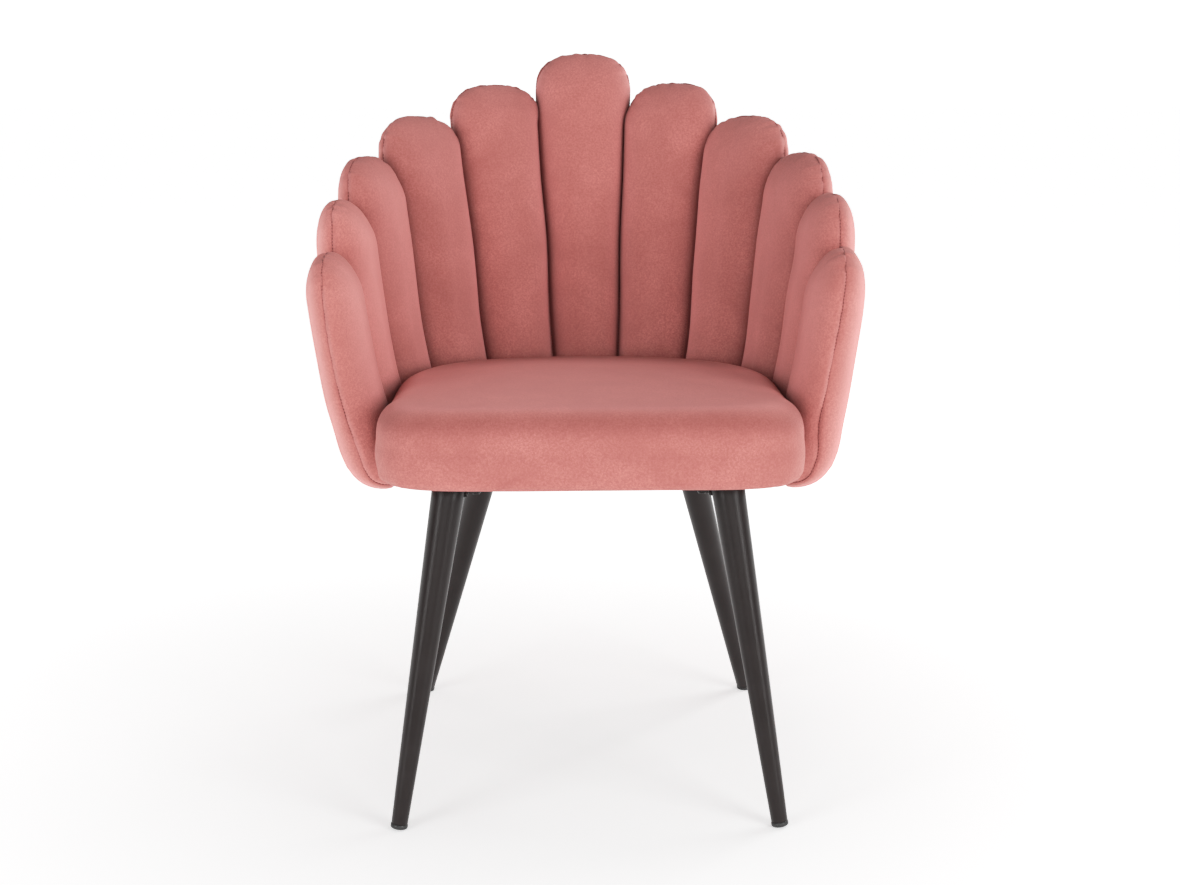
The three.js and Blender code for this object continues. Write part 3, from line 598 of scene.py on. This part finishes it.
def petal(index, material, thread):
    x, z, roundness, rolls = petal_domain(index)
    face, back = petal_faces(index, x, z, roundness, rolls)
    ring_r, ring_c = outline_ring(len(rolls))
    ring_x, ring_z = x[ring_r, ring_c], z[ring_r, ring_c]
    seam = seam_bottom(index, ring_x, ring_z)

    rows = len(rolls)
    count = rows * across_count
    faces = grid_faces(rows, across_count, flipped=True) + grid_faces(rows, across_count, start=count)
    flat = ring_r * across_count + ring_c
    fold = 2 * count + np.arange(len(flat))
    faces += joined(flat, fold) + joined(fold, count + flat)
    points = np.vstack([face.reshape(-1, 3), back.reshape(-1, 3), seam])
    nodes = (f"inner_petal_{index + 1:02d}", f"outer_petal_{index + 1:02d}")
    made = piece(f"petal_{index + 1:02d}", points, faces, material, nodes)
    swell(made, unevenness(index, x, z, roundness, points, len(seam)))
    light = petal_light_shares[index]
    made.color = (light, light, light, tip_slope_shade_shares[index])

    # Stitches show where a side stands free: along the arms' fronts, the lower ends and the tips.
    sewn = petal_points(index, ring_x, ring_z, seam_offset + seam_shift(index, ring_x, ring_z))
    shown = (bare_share(index, ring_x, ring_z) > 0.5) | (ring_r == 0)
    shown |= free_sides(index, ring_x) & np.isin(ring_c, (0, across_count - 1))
    first = 0 if shown.all() else int(np.argmin(shown))
    stretch = [k for k in np.roll(np.arange(len(shown)), -first) if shown[k]]
    stitches(index, sewn[stretch], thread)


# Seat
def seat_outline(inset):
    angle = 2 * math.pi * (np.arange(seat_points) + 0.5) / seat_points
    c, s = np.cos(angle), np.sin(angle)
    power = np.where(s > 0, plan_power, seat_front_power)
    reach = np.where(s > 0, seat_back_reach, seat_front_reach) - inset
    x = (seat_half_width - inset) * np.sign(c) * np.abs(c) ** (2 / power)
    y = reach * np.sign(s) * np.abs(s) ** (2 / power) - widest_setback
    x = x + np.sign(x) * seat_front_flare * smoothstep((-y - arm_reach) / seat_edge_radius)
    return x, y


def seat_profile():
    """Pairs of inset and height from the board's edge, round under the cover and up to the rim."""
    side_low = seat_bottom + seat_lower_radius
    side_high = seat_rim - seat_edge_radius
    rings = [(flange_edge, board_bottom), (flange_edge, seat_bottom)]
    for share in np.linspace(0, 1, flange_rings)[1:-1]:
        rings.append((flange_edge + (seat_lower_radius - flange_edge) * share, seat_bottom))
    for angle in np.linspace(0, math.pi / 2, lower_rings):
        across, up = 1 - math.sin(angle), 1 - math.cos(angle)
        rings.append((seat_lower_radius * across, seat_bottom + seat_lower_radius * up))
    for share in np.linspace(0, 1, side_rings)[1:-1]:
        rings.append((-seat_side_tuck * math.sin(math.pi * share), side_low + (side_high - side_low) * share))
    for angle in np.linspace(0, math.pi / 2, edge_rings):
        across, up = math.cos(angle) ** (2 / seat_edge_power), math.sin(angle) ** (2 / seat_edge_power)
        rings.append((seat_edge_radius * (1 - across), seat_rim - seat_edge_radius * (1 - up)))
    return rings


def seat_cushion(material):
    def sloped(x, y, z):
        share = np.minimum(1, (z - seat_bottom) / (seat_rim - seat_bottom))
        return np.column_stack([x, y + source_shift, z - (y + widest_setback) * math.tan(seat_slope) * share])

    points = []
    for inset, z in seat_profile():
        x, y = seat_outline(inset)
        points.append(sloped(x, y, np.full(seat_points, z)))
    edge_x, edge_y = seat_outline(seat_edge_radius)
    for share in np.linspace(0, 1, crown_rings)[1:-1]:
        z = np.full(seat_points, seat_rim + seat_crown * math.sin(math.pi / 2 * share))
        points.append(sloped(edge_x * (1 - share), edge_y * (1 - share) + seat_middle * share, z))
    rows = len(points)
    faces = grid_faces(rows, seat_points, closed=True)
    top = rows * seat_points
    foot = top + 1
    ends = sloped(np.zeros(2), np.full(2, seat_middle), np.array([seat_rim + seat_crown, board_bottom]))
    last = (rows - 1) * seat_points
    for c in range(seat_points):
        after = (c + 1) % seat_points
        faces.append([last + c, last + after, top])
        faces.append([after, c, foot])
    points = np.vstack([*points, ends])
    made = piece("seat_cushion", points, faces, material, ("seat_cover", "seat_foam"))

    # The cover is pulled under the board, which leaves small waves along its lower edge.
    low = np.clip(1 - (points[:, 2] - seat_bottom) / seat_pull_height, 0, 1)
    low = low * (points[:, 2] > seat_bottom + seat_lower_radius / 4)
    angle = np.arctan2(points[:, 1] - source_shift - seat_middle, points[:, 0])
    pulls = line_noise(angle, seat_pull_angle, seat_pull_seed)
    pulls = pulls + fine_pull_share * line_noise(angle, seat_pull_angle / fine_pull_ratio, seat_pull_seed + 1)
    dented = dents(points, 2 * dent_spacing, seat_dent_seed) * (low < 1)
    swell(made, seat_pull_depth * pulls * low + dent_depth * dented)


# Base
def leg_axis(name, side_splay, splay):
    """The middle of a leg's top, and of its foot on the floor."""
    points = mesh_points(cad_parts[name + "_leg"].data)
    rim = points[points[:, 2] > points[:, 2].max() - cut_depth]
    top = Vector((rim.max(axis=0) + rim.min(axis=0)) / 2)
    lower = Vector((top.x + math.copysign(side_splay, top.x), top.y + splay, 0))
    top.x += leg_top_shifts.get(name, 0)
    lower.x += leg_foot_shifts.get(name, 0)
    return top, lower


def turned(name, start, end, profile, material, replaced, top=None):
    """A turned piece round the line from start to end, from pairs of radius and height along it.
    Where a level is given as top, the last two rings are cut off level there."""
    way = (end - start).normalized()
    side = Vector((1, 0, 0)).cross(way).normalized()
    points = []
    for radius, height in profile:
        points += ring(start + way * height, side, way.cross(side), radius, round_sides)
    if top is not None:
        for point in points[-2 * round_sides :]:
            point += way * (top - point.z) / way.z
    return piece(name, points, tube_faces(len(profile), round_sides), material, replaced)


def top_radius_of(name):
    return front_top_radius if name.startswith("front") else back_top_radius


def leg_pieces(name, side_splay, splay, coat, foot):
    top, lower = leg_axis(name, side_splay, splay)
    length = (top - lower).length

    def radius(height):
        return leg_foot_radius + (top_radius_of(name) - leg_foot_radius) * height / length

    start = glide_height
    straight = start + leg_end_round
    profile = [(radius(start) - leg_end_round, start)]
    profile += [(radius(start) - leg_end_round / 4, start + leg_end_round / 4), (radius(start), straight)]
    for share in np.linspace(0, 1, leg_rings)[1:]:
        height = straight + share * (length - straight)
        profile.append((radius(height), height))
    profile.append((radius(length) - leg_wall, length))
    turned(f"{name}_leg_tube", lower, top, profile, coat, (name + "_leg",), top=top.z)

    glide_radius = leg_foot_radius + glide_lip
    dome = []
    for angle in np.linspace(math.pi / 2, 0, glide_rings)[1:]:
        dome.append((glide_radius * math.cos(angle), glide_dome * (1 - math.sin(angle)) - glide_flat))
    dome += [(glide_radius, glide_height - glide_edge), (glide_radius - glide_edge, glide_height)]
    dome += [(glide_radius - 3 * glide_edge, glide_height + glide_edge)]
    made = turned(f"{name}_glide_cap", lower, top, dome, foot, (name + "_glide",))
    points = mesh_points(made.data)
    points[:, 2] = np.maximum(points[:, 2], 0)
    set_points(made, points)
    return top, lower


def tube_along(path, radii):
    """Points of a round tube along a path."""
    points = []
    tilted = Vector((0.31, 0.17, 0.93))
    for k, place in enumerate(path):
        way = (path[min(k + 1, len(path) - 1)] - path[max(k - 1, 0)]).normalized()
        side = way.cross(tilted).normalized()
        points += ring(place, side, way.cross(side), radii[k], bead_sides)
    return points


def weld_bead(name, top, lower, inward, material):
    """A bead down one side of a bar where it meets a leg, along under it and up its other side."""
    across = Vector((-inward.y, inward.x, 0))
    slope = (top - lower) / (top.z - lower.z)
    bar_bottom = top.z - bar_height
    leg_aside = across.x * leg_top_shifts.get(name, 0)

    def at(side, z):
        aside = side * bar_width / 2 - leg_aside
        reach = math.sqrt(top_radius_of(name) ** 2 - aside**2) + bead_radius / 2
        return top - slope * (top.z - z) + inward * reach + across * aside

    corners = [at(-1, top.z - bead_radius), at(-1, bar_bottom), at(1, bar_bottom), at(1, top.z - bead_radius)]
    path = []
    for first, second in zip(corners[:-1], corners[1:]):
        count = max(2, round((second - first).length / bead_step))
        path += [first.lerp(second, k / count) for k in range(count)]
    path.append(corners[-1])
    along = 2 * math.pi * bead_step / bead_pitch * np.arange(len(path))
    radii = bead_radius * (1 + bead_ripple_share * np.sin(along))
    radii[0] = radii[-1] = bead_end_radius
    faces = tube_faces(len(path), bead_sides)
    piece(f"{name}_weld", tube_along(path, radii), faces, material)


def round_edges(node, width):
    bevel = node.modifiers.new("rounded_edges", "BEVEL")
    bevel.width = width
    bevel.segments = rounding_segments
    bevel.limit_method = "ANGLE"
    bevel.angle_limit = rounding_angle


# Lining under the seat, stapled to the board through the turned-in cover
def strap_lines():
    """The middle line of each strap in plan, from its bolt out to the shell."""
    lines = []
    for name in leg_names:
        low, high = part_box(f"{name}_frame_bolt")
        bolt = ((low.x + high.x) / 2, (low.y + high.y) / 2)
        if name.startswith("front"):
            out = (math.copysign(rim_half_width, bolt[0]), bolt[1])
        else:
            out = (bolt[0], back_reach + source_shift)
        lines.append((bolt, out))
    return lines


def line_distance(x, y, start, end):
    """How far points lie from a line in plan."""
    along = np.array([end[0] - start[0], end[1] - start[1]])
    length = np.hypot(*along)
    along = along / length
    reach = np.clip((x - start[0]) * along[0] + (y - start[1]) * along[1], 0, length)
    return np.hypot(x - start[0] - along[0] * reach, y - start[1] - along[1] * reach)


def lining_sheet(material, straps):
    edge_x, edge_y = seat_outline(flange_edge - lining_overlap)
    angle = np.arctan2(edge_y - seat_middle, edge_x)
    wander = fold_wander * line_noise(angle, fold_wander_angle, fold_seed)
    folds = 0.5 + 0.5 * np.sin(fold_count * angle + wander)
    rows = []
    for share in lining_shares:
        x = edge_x * (1 - share)
        y = edge_y * (1 - share) + seat_middle * share + source_shift
        clear = np.ones_like(x)
        for strap in straps:
            clear *= smoothstep((line_distance(x, y, *strap) - strap_half_width) / strap_clearance)
        fold = fold_depth * folds * np.exp(-share / fold_fade_share) * min(1, share * fold_growth)
        sag = clear * (lining_sag * smoothstep(share * sag_growth) + fold)
        rows.append(np.column_stack([x, y, lining_top - sag]))
    top = np.vstack(rows)
    points = np.vstack([top, top - np.array([0, 0, lining_thickness])])
    under = len(top)
    faces = grid_faces(len(rows), seat_points, closed=True)
    faces += grid_faces(len(rows), seat_points, start=under, closed=True, flipped=True)
    faces += joined(under + np.arange(seat_points), np.arange(seat_points))
    last = (len(rows) - 1) * seat_points
    faces.append([last + k for k in range(seat_points)])
    faces.append([under + last + k for k in reversed(range(seat_points))])
    made = piece("lining_sheet", points, faces, material, ("dust_cover",))


def lining_staples(material, straps):
    """Staples, each a small flattened wire along the lining's edge."""
    points, faces = [], []
    x, y = seat_outline(flange_edge - lining_overlap + staple_inset)
    y = y + source_shift
    steps = np.hypot(np.diff(x, append=x[0]), np.diff(y, append=y[0]))
    along = np.cumsum(steps) - steps[0]
    wire_height = lining_top - lining_thickness - staple_radius
    for centre in np.arange(0, along[-1], staple_pitch):
        ends = [centre - staple_length / 2, centre + staple_length / 2]
        px, py = np.interp(ends, along, x), np.interp(ends, along, y)
        nearest = min(line_distance(px.mean(), py.mean(), *strap) for strap in straps)
        if nearest < strap_half_width + staple_length:
            continue
        path = [Vector((px[0], py[0], lining_top)), Vector((px[0], py[0], wire_height))]
        path += [Vector((px[1], py[1], wire_height)), Vector((px[1], py[1], lining_top))]
        faces += tube_faces(len(path), bead_sides, len(points))
        points += tube_along(path, [staple_radius] * len(path))
    piece("lining_staples", points, faces, material)


# Material helpers. Scales are in waves per metre, and bump heights in metres
def set_inputs(tree, node, inputs):
    """Sets each input to its value or colour, or links it where it is given another node's output."""
    for key, value in inputs.items():
        if isinstance(value, bpy.types.NodeSocket):
            tree.links.new(value, node.inputs[key])
        else:
            node.inputs[key].default_value = (*value, 1) if isinstance(value, tuple) else value


def add_node(tree, kind, inputs):
    node = tree.nodes.new("ShaderNode" + kind)
    set_inputs(tree, node, inputs)
    return node


def shader(name):
    material = bpy.data.materials.new(name)
    material.use_nodes = True
    tree = material.node_tree
    tree.nodes.clear()
    surface = add_node(tree, "BsdfPrincipled", {})
    add_node(tree, "OutputMaterial", {"Surface": surface.outputs["BSDF"]})
    return material, tree, surface


def place_coordinates(tree):
    return add_node(tree, "TexCoord", {}).outputs["Object"]


def part(tree, vector, axis):
    return add_node(tree, "SeparateXYZ", {"Vector": vector}).outputs[axis]


def noise(tree, vector, scale, detail=3.0, roughness=0.55, distortion=0.0):
    inputs = {"Scale": scale, "Detail": detail, "Roughness": roughness, "Distortion": distortion}
    return add_node(tree, "TexNoise", {"Vector": vector, **inputs}).outputs["Fac"]


def ranged(tree, value, low, high, from_low=0.3, from_high=0.7):
    """Low where the value is at from_low or less, high where it is at from_high or more, even between."""
    inputs = {"Value": value, "From Min": from_low, "From Max": from_high, "To Min": low, "To Max": high}
    return add_node(tree, "MapRange", inputs).outputs["Result"]


def mixed_color(tree, share, first, second, blend="MIX"):
    node = tree.nodes.new("ShaderNodeMix")
    node.data_type = "RGBA"
    node.blend_type = blend
    sockets = [k for k, socket in enumerate(node.inputs) if socket.type == "RGBA"]
    set_inputs(tree, node, {"Factor": share, sockets[0]: first, sockets[1]: second})
    return next(socket for socket in node.outputs if socket.type == "RGBA")


def bump(tree, height, distance, normal=None):
    inputs = {"Height": height, "Distance": distance, "Strength": 1}
    if normal is not None:
        inputs["Normal"] = normal
    return add_node(tree, "Bump", inputs).outputs["Normal"]


def product(tree, first, second):
    node = add_node(tree, "Math", {0: first, 1: second})
    node.operation = "MULTIPLY"
    return node.outputs["Value"]


def slope_share(tree, stops):
    """A share read off how far a face looks up, from 0 for upright faces to 1 for level ones."""
    normal = add_node(tree, "NewGeometry", {}).outputs["Normal"]
    ramp = add_node(tree, "ValToRGB", {"Fac": part(tree, normal, "Z")})
    ramp.color_ramp.interpolation = "B_SPLINE"
    points = ramp.color_ramp.elements
    while len(points) < len(stops):
        points.new(0.5)
    for point, (place, value) in zip(points, stops):
        point.position = place
        point.color = (value, value, value, 1)
    return ramp.outputs["Color"]


# Velvet
base_shades = ((0.515, 0.176, 0.156), (0.70, 0.250, 0.225))
cloud_noise = {"scale": 13, "detail": 5, "distortion": 0.6}
cloud_stretch = (0.32, 0.68)
grain_scale = 900
grain_depth = 0.00022
# Smudges, grain and flecks: the noise, between which of its values a layer sets in, its share and its shade
fabric_layers = (
    ({"scale": 48, "detail": 4, "distortion": 0.5}, (0.35, 0.7), 0.28, (0.47, 0.150, 0.133)),
    ({"scale": grain_scale}, (0.3, 0.7), 0.4, (0.33, 0.098, 0.087)),
    ({"scale": 430, "roughness": 0.7}, (0.38, 0.62), 0.6, (0.38, 0.112, 0.099)),
)
slant_blend_share = 0.5
painted_sheen_slants = (0.05, 0.65)  # between which slants the painted sheen shows more and more
painted_sheen_share = 0.5
painted_sheen_shade = (1.0, 0.425, 0.41)
painted_back_shade = (0.27, 0.060, 0.052)
painted_slope_shade = (0.20, 0.045, 0.040)
crease_shadow_reach = 0.021
crease_shadow_samples = 4
crease_shadow_stretch = (0.2, 0.85)
crease_shadow_share = 0.85
painted_crease_shadow = (0.17, 0.034, 0.030)
velvet_finish = {
    "Roughness": 0.65,
    "Specular IOR Level": 0.12,
    "Sheen Weight": 0.10,
    "Sheen Roughness": 0.5,
    "Sheen Tint": (1.0, 0.65, 0.62),
}
softness_scale = 42
softness_depth = 0.0012
# How much of the painted sheen, and of the painted slope shade, shows on faces that look up more and more
petal_painted_sheen_shares = ((0, 1), (0.25, 1), (0.7, 0.3))
petal_slope_shade_shares = ((0, 0), (0.27, 0), (0.5, 0.1), (0.8, 0.17), (1, 0.17))
seat_painted_sheen_shares = ((0, 0.12), (0.4, 0.15), (0.86, 0.2), (1, 1))
seat_slope_shade_shares = ((0, 0), (0.22, 0.1), (0.45, 0.38), (0.68, 0.38), (0.84, 0.12), (0.94, 0), (1, 0))
seat_back_shade_span = (-0.02, 0.10)  # from where to where, towards the back, painted shade darkens the seat and its painted sheen fades
back_shade_share = 0.55
# How much lighter or darker each petal's colour is made than the fabric's own shade, and how much of the
# painted slope shade its tip takes
petal_light_shares = (1.05, 1.10, 0.98, 0.95, 1.06, 1.10, 1.02, 0.95, 0.89, 0.96, 1.0)
tip_slope_shade_shares = (0, 0, 0.5, 0.1, 1, 1.5, 1, 0, 0.3, 0, 0)


def velvet_base(tree, where):
    """The fabric's own colour: slow clouds with finer layers over them."""
    clouds = ranged(tree, noise(tree, where, **cloud_noise), 0, 1, *cloud_stretch)
    color = mixed_color(tree, clouds, *base_shades)
    for pattern, stretch, share, shade in fabric_layers:
        shown = ranged(tree, noise(tree, where, **pattern), 0, share, *stretch)
        color = mixed_color(tree, shown, color, shade)
    return color


def velvet_material(name, painted_sheen_slope_shares, slope_shade_shares, back_shade_span=None):
    """Short-pile velvet, with painted sheen that makes it paler at a slant, painted shade on some slopes and
    painted shadow in the creases.
    """
    material, tree, surface = shader(name)
    where = place_coordinates(tree)
    color = velvet_base(tree, where)
    # Painted sheen: the colour pales where the surface is seen at a slant, as far as each slope allows.
    slant = add_node(tree, "LayerWeight", {"Blend": slant_blend_share}).outputs["Facing"]
    painted_sheen = ranged(tree, slant, 0, painted_sheen_share, *painted_sheen_slants)
    # Painted shade: over the given span the seat darkens towards the back, and its painted sheen fades there.
    if back_shade_span:
        depth = part(tree, where, "Y")
        painted_sheen = product(tree, painted_sheen, ranged(tree, depth, 1, 0, *back_shade_span))
        color = mixed_color(tree, ranged(tree, depth, 0, back_shade_share, *back_shade_span), color, painted_back_shade)
    color = mixed_color(tree, product(tree, painted_sheen, slope_share(tree, painted_sheen_slope_shares)), color, painted_sheen_shade)
    # Painted shade on some slopes, scaled by each piece's own share; then each piece's colour is made lighter
    # or darker by its own share.
    own = add_node(tree, "ObjectInfo", {})
    slope_shade = product(tree, slope_share(tree, slope_shade_shares), own.outputs["Alpha"])
    color = mixed_color(tree, slope_shade, color, painted_slope_shade)
    color = mixed_color(tree, 1, color, own.outputs["Color"], blend="MULTIPLY")
    # Painted shadow: an ambient occlusion reading darkens the colour in the creases between the petals, where
    # less light reaches than the pile around them.
    crease_occlusion = add_node(tree, "AmbientOcclusion", {"Distance": crease_shadow_reach})
    crease_occlusion.samples = crease_shadow_samples
    crease_shadow = ranged(tree, crease_occlusion.outputs["AO"], crease_shadow_share, 0, *crease_shadow_stretch)
    color = mixed_color(tree, crease_shadow, color, painted_crease_shadow)
    soft = bump(tree, noise(tree, where, softness_scale, detail=2), softness_depth)
    normal = bump(tree, ranged(tree, noise(tree, where, grain_scale), 0, 1), grain_depth, normal=soft)
    set_inputs(tree, surface, {"Base Color": color, "Normal": normal, **velvet_finish})
    return material


# Powder coat on the legs and bars
coat_shades = ((0.0085, 0.0042, 0.0038), (0.0125, 0.0078, 0.0072))
coat_scale = 30
coat_gloss = {"Specular IOR Level": 0.27}
coat_roughness = (0.33, 0.38)
coat_grain_scale = 1500
coat_grain_depth = 0.00002


def powder_coat():
    material, tree, surface = shader("powder_coat")
    where = place_coordinates(tree)
    patches = noise(tree, where, coat_scale)
    color = mixed_color(tree, ranged(tree, patches, 0, 1), *coat_shades)
    roughness = ranged(tree, patches, *coat_roughness)
    normal = bump(tree, noise(tree, where, coat_grain_scale, detail=1), coat_grain_depth)
    set_inputs(tree, surface, {"Base Color": color, "Roughness": roughness, "Normal": normal, **coat_gloss})
    return material


# Plain finishes: each one's two near shades, roughness, metal and the scale of its surface grain
patch_scale = 60
plain_grain_depth = 0.0001
roughness_spread = 0.06
finishes = {
    "thread": ((0.15, 0.027, 0.025), (0.22, 0.042, 0.038), 0.7, 0, 900),
    "zinc_plate": ((0.55, 0.56, 0.57), (0.68, 0.69, 0.70), 0.32, 1, 400),
    "glide_plastic": ((0.012, 0.012, 0.012), (0.02, 0.02, 0.02), 0.5, 0, 400),
    "lining": ((0.010, 0.010, 0.010), (0.017, 0.017, 0.017), 0.9, 0, 1500),
    "plywood": ((0.48, 0.30, 0.15), (0.58, 0.38, 0.21), 0.6, 0, 400),
}


def plain_material(name, first_shade, second_shade, roughness, metal_share, grain_scale):
    material, tree, surface = shader(name)
    where = place_coordinates(tree)
    patches = noise(tree, where, patch_scale, detail=4)
    color = mixed_color(tree, ranged(tree, patches, 0, 1), first_shade, second_shade)
    gloss = ranged(tree, patches, roughness - roughness_spread, roughness + roughness_spread)
    normal = bump(tree, noise(tree, where, grain_scale, detail=2), plain_grain_depth)
    inputs = {"Base Color": color, "Roughness": gloss, "Normal": normal, "Metallic": metal_share}
    set_inputs(tree, surface, inputs)
    return material


velvet = velvet_material("velvet", petal_painted_sheen_shares, petal_slope_shade_shares)
seat_velvet = velvet_material("seat_velvet", seat_painted_sheen_shares, seat_slope_shade_shares, seat_back_shade_span)
steel = powder_coat()
thread, zinc, plastic, lining, wood = [plain_material(name, *finish) for name, finish in finishes.items()]


# The chair
def carried_over_nodes():
    """Rounds the edges of the steel parts and gives each node that stays its finish."""
    for name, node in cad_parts.items():
        if "bar" in name:
            round_edges(node, edge_rounding)
        elif "strap" in name or "bolt" in name:
            round_edges(node, small_rounding)
        material = steel
        if "nut" in name or "rivet" in name:
            material = zinc
        if name in ("seat_board", "back_shell"):
            material = wood
        for socket in range(len(node.data.materials)):
            node.data.materials[socket] = material


def legs():
    ends = {}
    for name in leg_names:
        splays = front_splays if name.startswith("front") else back_splays
        ends[name] = leg_pieces(name, *splays, steel, plastic)
    for name, other in zip(leg_names, reversed(leg_names)):
        top, lower = ends[name]
        inward = ends[other][0] - top
        inward.z = 0
        weld_bead(name, top, lower, inward.normalized(), steel)


for index in range(petal_count):
    petal(index, velvet, thread)
seat_cushion(seat_velvet)
straps = strap_lines()
lining_sheet(lining, straps)
lining_staples(zinc, straps)
legs()
carried_over_nodes()

# Floor, light and camera
floor_half_size = 30
floor_shade = (0.83, 0.83, 0.83)
floor_scale = 3
floor_roughness = (0.55, 0.62)
floor_gloss = {"Specular IOR Level": 0.2}
white = (1, 1, 1)
# The floor's glow close by and far away, between which distances it grows, and where it sets in at the front
glow_strengths = (0.52, 1.2)
glow_reach = (0.25, 1.2)
glow_front = (-0.9, -0.45)
# The strengths of the studio's walls, front wall and ceiling, and between which slopes of a view each fades
wall_brightness = 1.6
wall_fade_shares = (0.04, 0.25)
front_wall_share = 0.1
front_fade_shares = (-0.1, 0.4)
ceiling_brightness = 0.52
ceiling_fade_shares = (0.1, 1.0)
highlight_end = 1.5
middle_responses = ((0.225, 0.225), (0.45, 0.45), (0.6, 0.565), (0.75, 0.66), (0.95, 0.77), (1.2, 0.9))
chair_middle = Vector((0, 0, 0.45))
# Each light's place, width, height and watts
lights = {
    "softbox_left_front": ((-2.2, -2.2, 1.4), 1.6, 1.6, 32),
    "softbox_right_front": ((2.2, -2.2, 1.4), 1.6, 1.6, 50),
    "softbox_front": ((0, -3.2, 0.7), 2.4, 1.0, 23),
    "softbox_right_back": ((2.2, 1.4, 1.8), 1.6, 1.6, 34),
    "strip_left": ((-1.9, -2.0, 0.42), 0.14, 0.7, 9),
    "strip_right": ((1.9, -2.0, 0.42), 0.14, 0.7, 9),
}


def floor_material():
    material, tree, surface = shader("floor_white")
    where = place_coordinates(tree)
    roughness = ranged(tree, noise(tree, where, floor_scale), *floor_roughness)
    set_inputs(tree, surface, {"Base Color": floor_shade, "Roughness": roughness, **floor_gloss})
    # It glows like a light table, more so further away, but not close to the camera.
    away = add_node(tree, "VectorMath", {0: where})
    away.operation = "LENGTH"
    glow = ranged(tree, away.outputs["Value"], *glow_strengths, *glow_reach)
    glow = product(tree, glow, ranged(tree, part(tree, where, "Y"), 0, 1, *glow_front))
    set_inputs(tree, surface, {"Emission Color": white, "Emission Strength": glow})
    return material


def add_floor():
    mesh = bpy.data.meshes.new("floor")
    corners = ((-1, -1), (1, -1), (1, 1), (-1, 1))
    mesh.from_pydata([(x * floor_half_size, y * floor_half_size, 0) for x, y in corners], [], [(0, 1, 2, 3)])
    mesh.materials.append(floor_material())
    floor = bpy.data.objects.new("floor", mesh)
    scene.collection.objects.link(floor)


def add_aimed(name, data, place, way):
    """Adds a lamp or a camera that looks along a direction."""
    made = bpy.data.objects.new(name, data)
    made.location = place
    made.rotation_euler = way.to_track_quat("-Z", "Y").to_euler()
    scene.collection.objects.link(made)
    return made


def add_light(name, place, width, height, power):
    data = bpy.data.lights.new(name, "AREA")
    data.shape = "RECTANGLE"
    data.size = width
    data.size_y = height
    data.energy = power
    add_aimed(name, data, place, chair_middle - Vector(place))


def add_camera():
    data = bpy.data.cameras.new("camera")
    data.sensor_width = sensor_width_mm
    data.lens = photo_focal_pixels / photo_width * sensor_width_mm
    flat = math.cos(camera_pitch)
    right, ahead = -math.sin(camera_heading) * flat, math.cos(camera_heading) * flat
    scene.camera = add_aimed("camera", data, camera_place, Vector((right, ahead, -math.sin(camera_pitch))))


def add_world():
    """Studio walls: white up to the horizon, dim overhead and in front."""
    world = bpy.data.worlds.new("studio")
    world.use_nodes = True
    tree = world.node_tree
    direction = add_node(tree, "TexCoord", {}).outputs["Generated"]
    up = part(tree, direction, "Z")
    walls = ranged(tree, up, wall_brightness, 0, *wall_fade_shares)
    behind = ranged(tree, part(tree, direction, "Y"), front_wall_share, 1, *front_fade_shares)
    ceiling = ranged(tree, up, 0, ceiling_brightness, *ceiling_fade_shares)
    total = add_node(tree, "Math", {0: product(tree, walls, behind), 1: ceiling}).outputs["Value"]
    set_inputs(tree, tree.nodes["Background"], {"Color": white, "Strength": total})
    scene.world = world


def soften_highlights():
    """A camera's response: straight up to the middle tones, then bending towards white."""
    view = scene.view_settings
    view.view_transform = "Standard"
    view.use_curve_mapping = True
    mapping = view.curve_mapping
    mapping.white_level = (highlight_end, highlight_end, highlight_end)
    points = mapping.curves[3].points
    points[0].location = (0, 0)
    points[1].location = (1, 1)
    for brightness, response in middle_responses:
        points.new(brightness / highlight_end, response)
    mapping.update()


soften_highlights()
add_world()
add_floor()
for name, light in lights.items():
    add_light(name, *light)
add_camera()
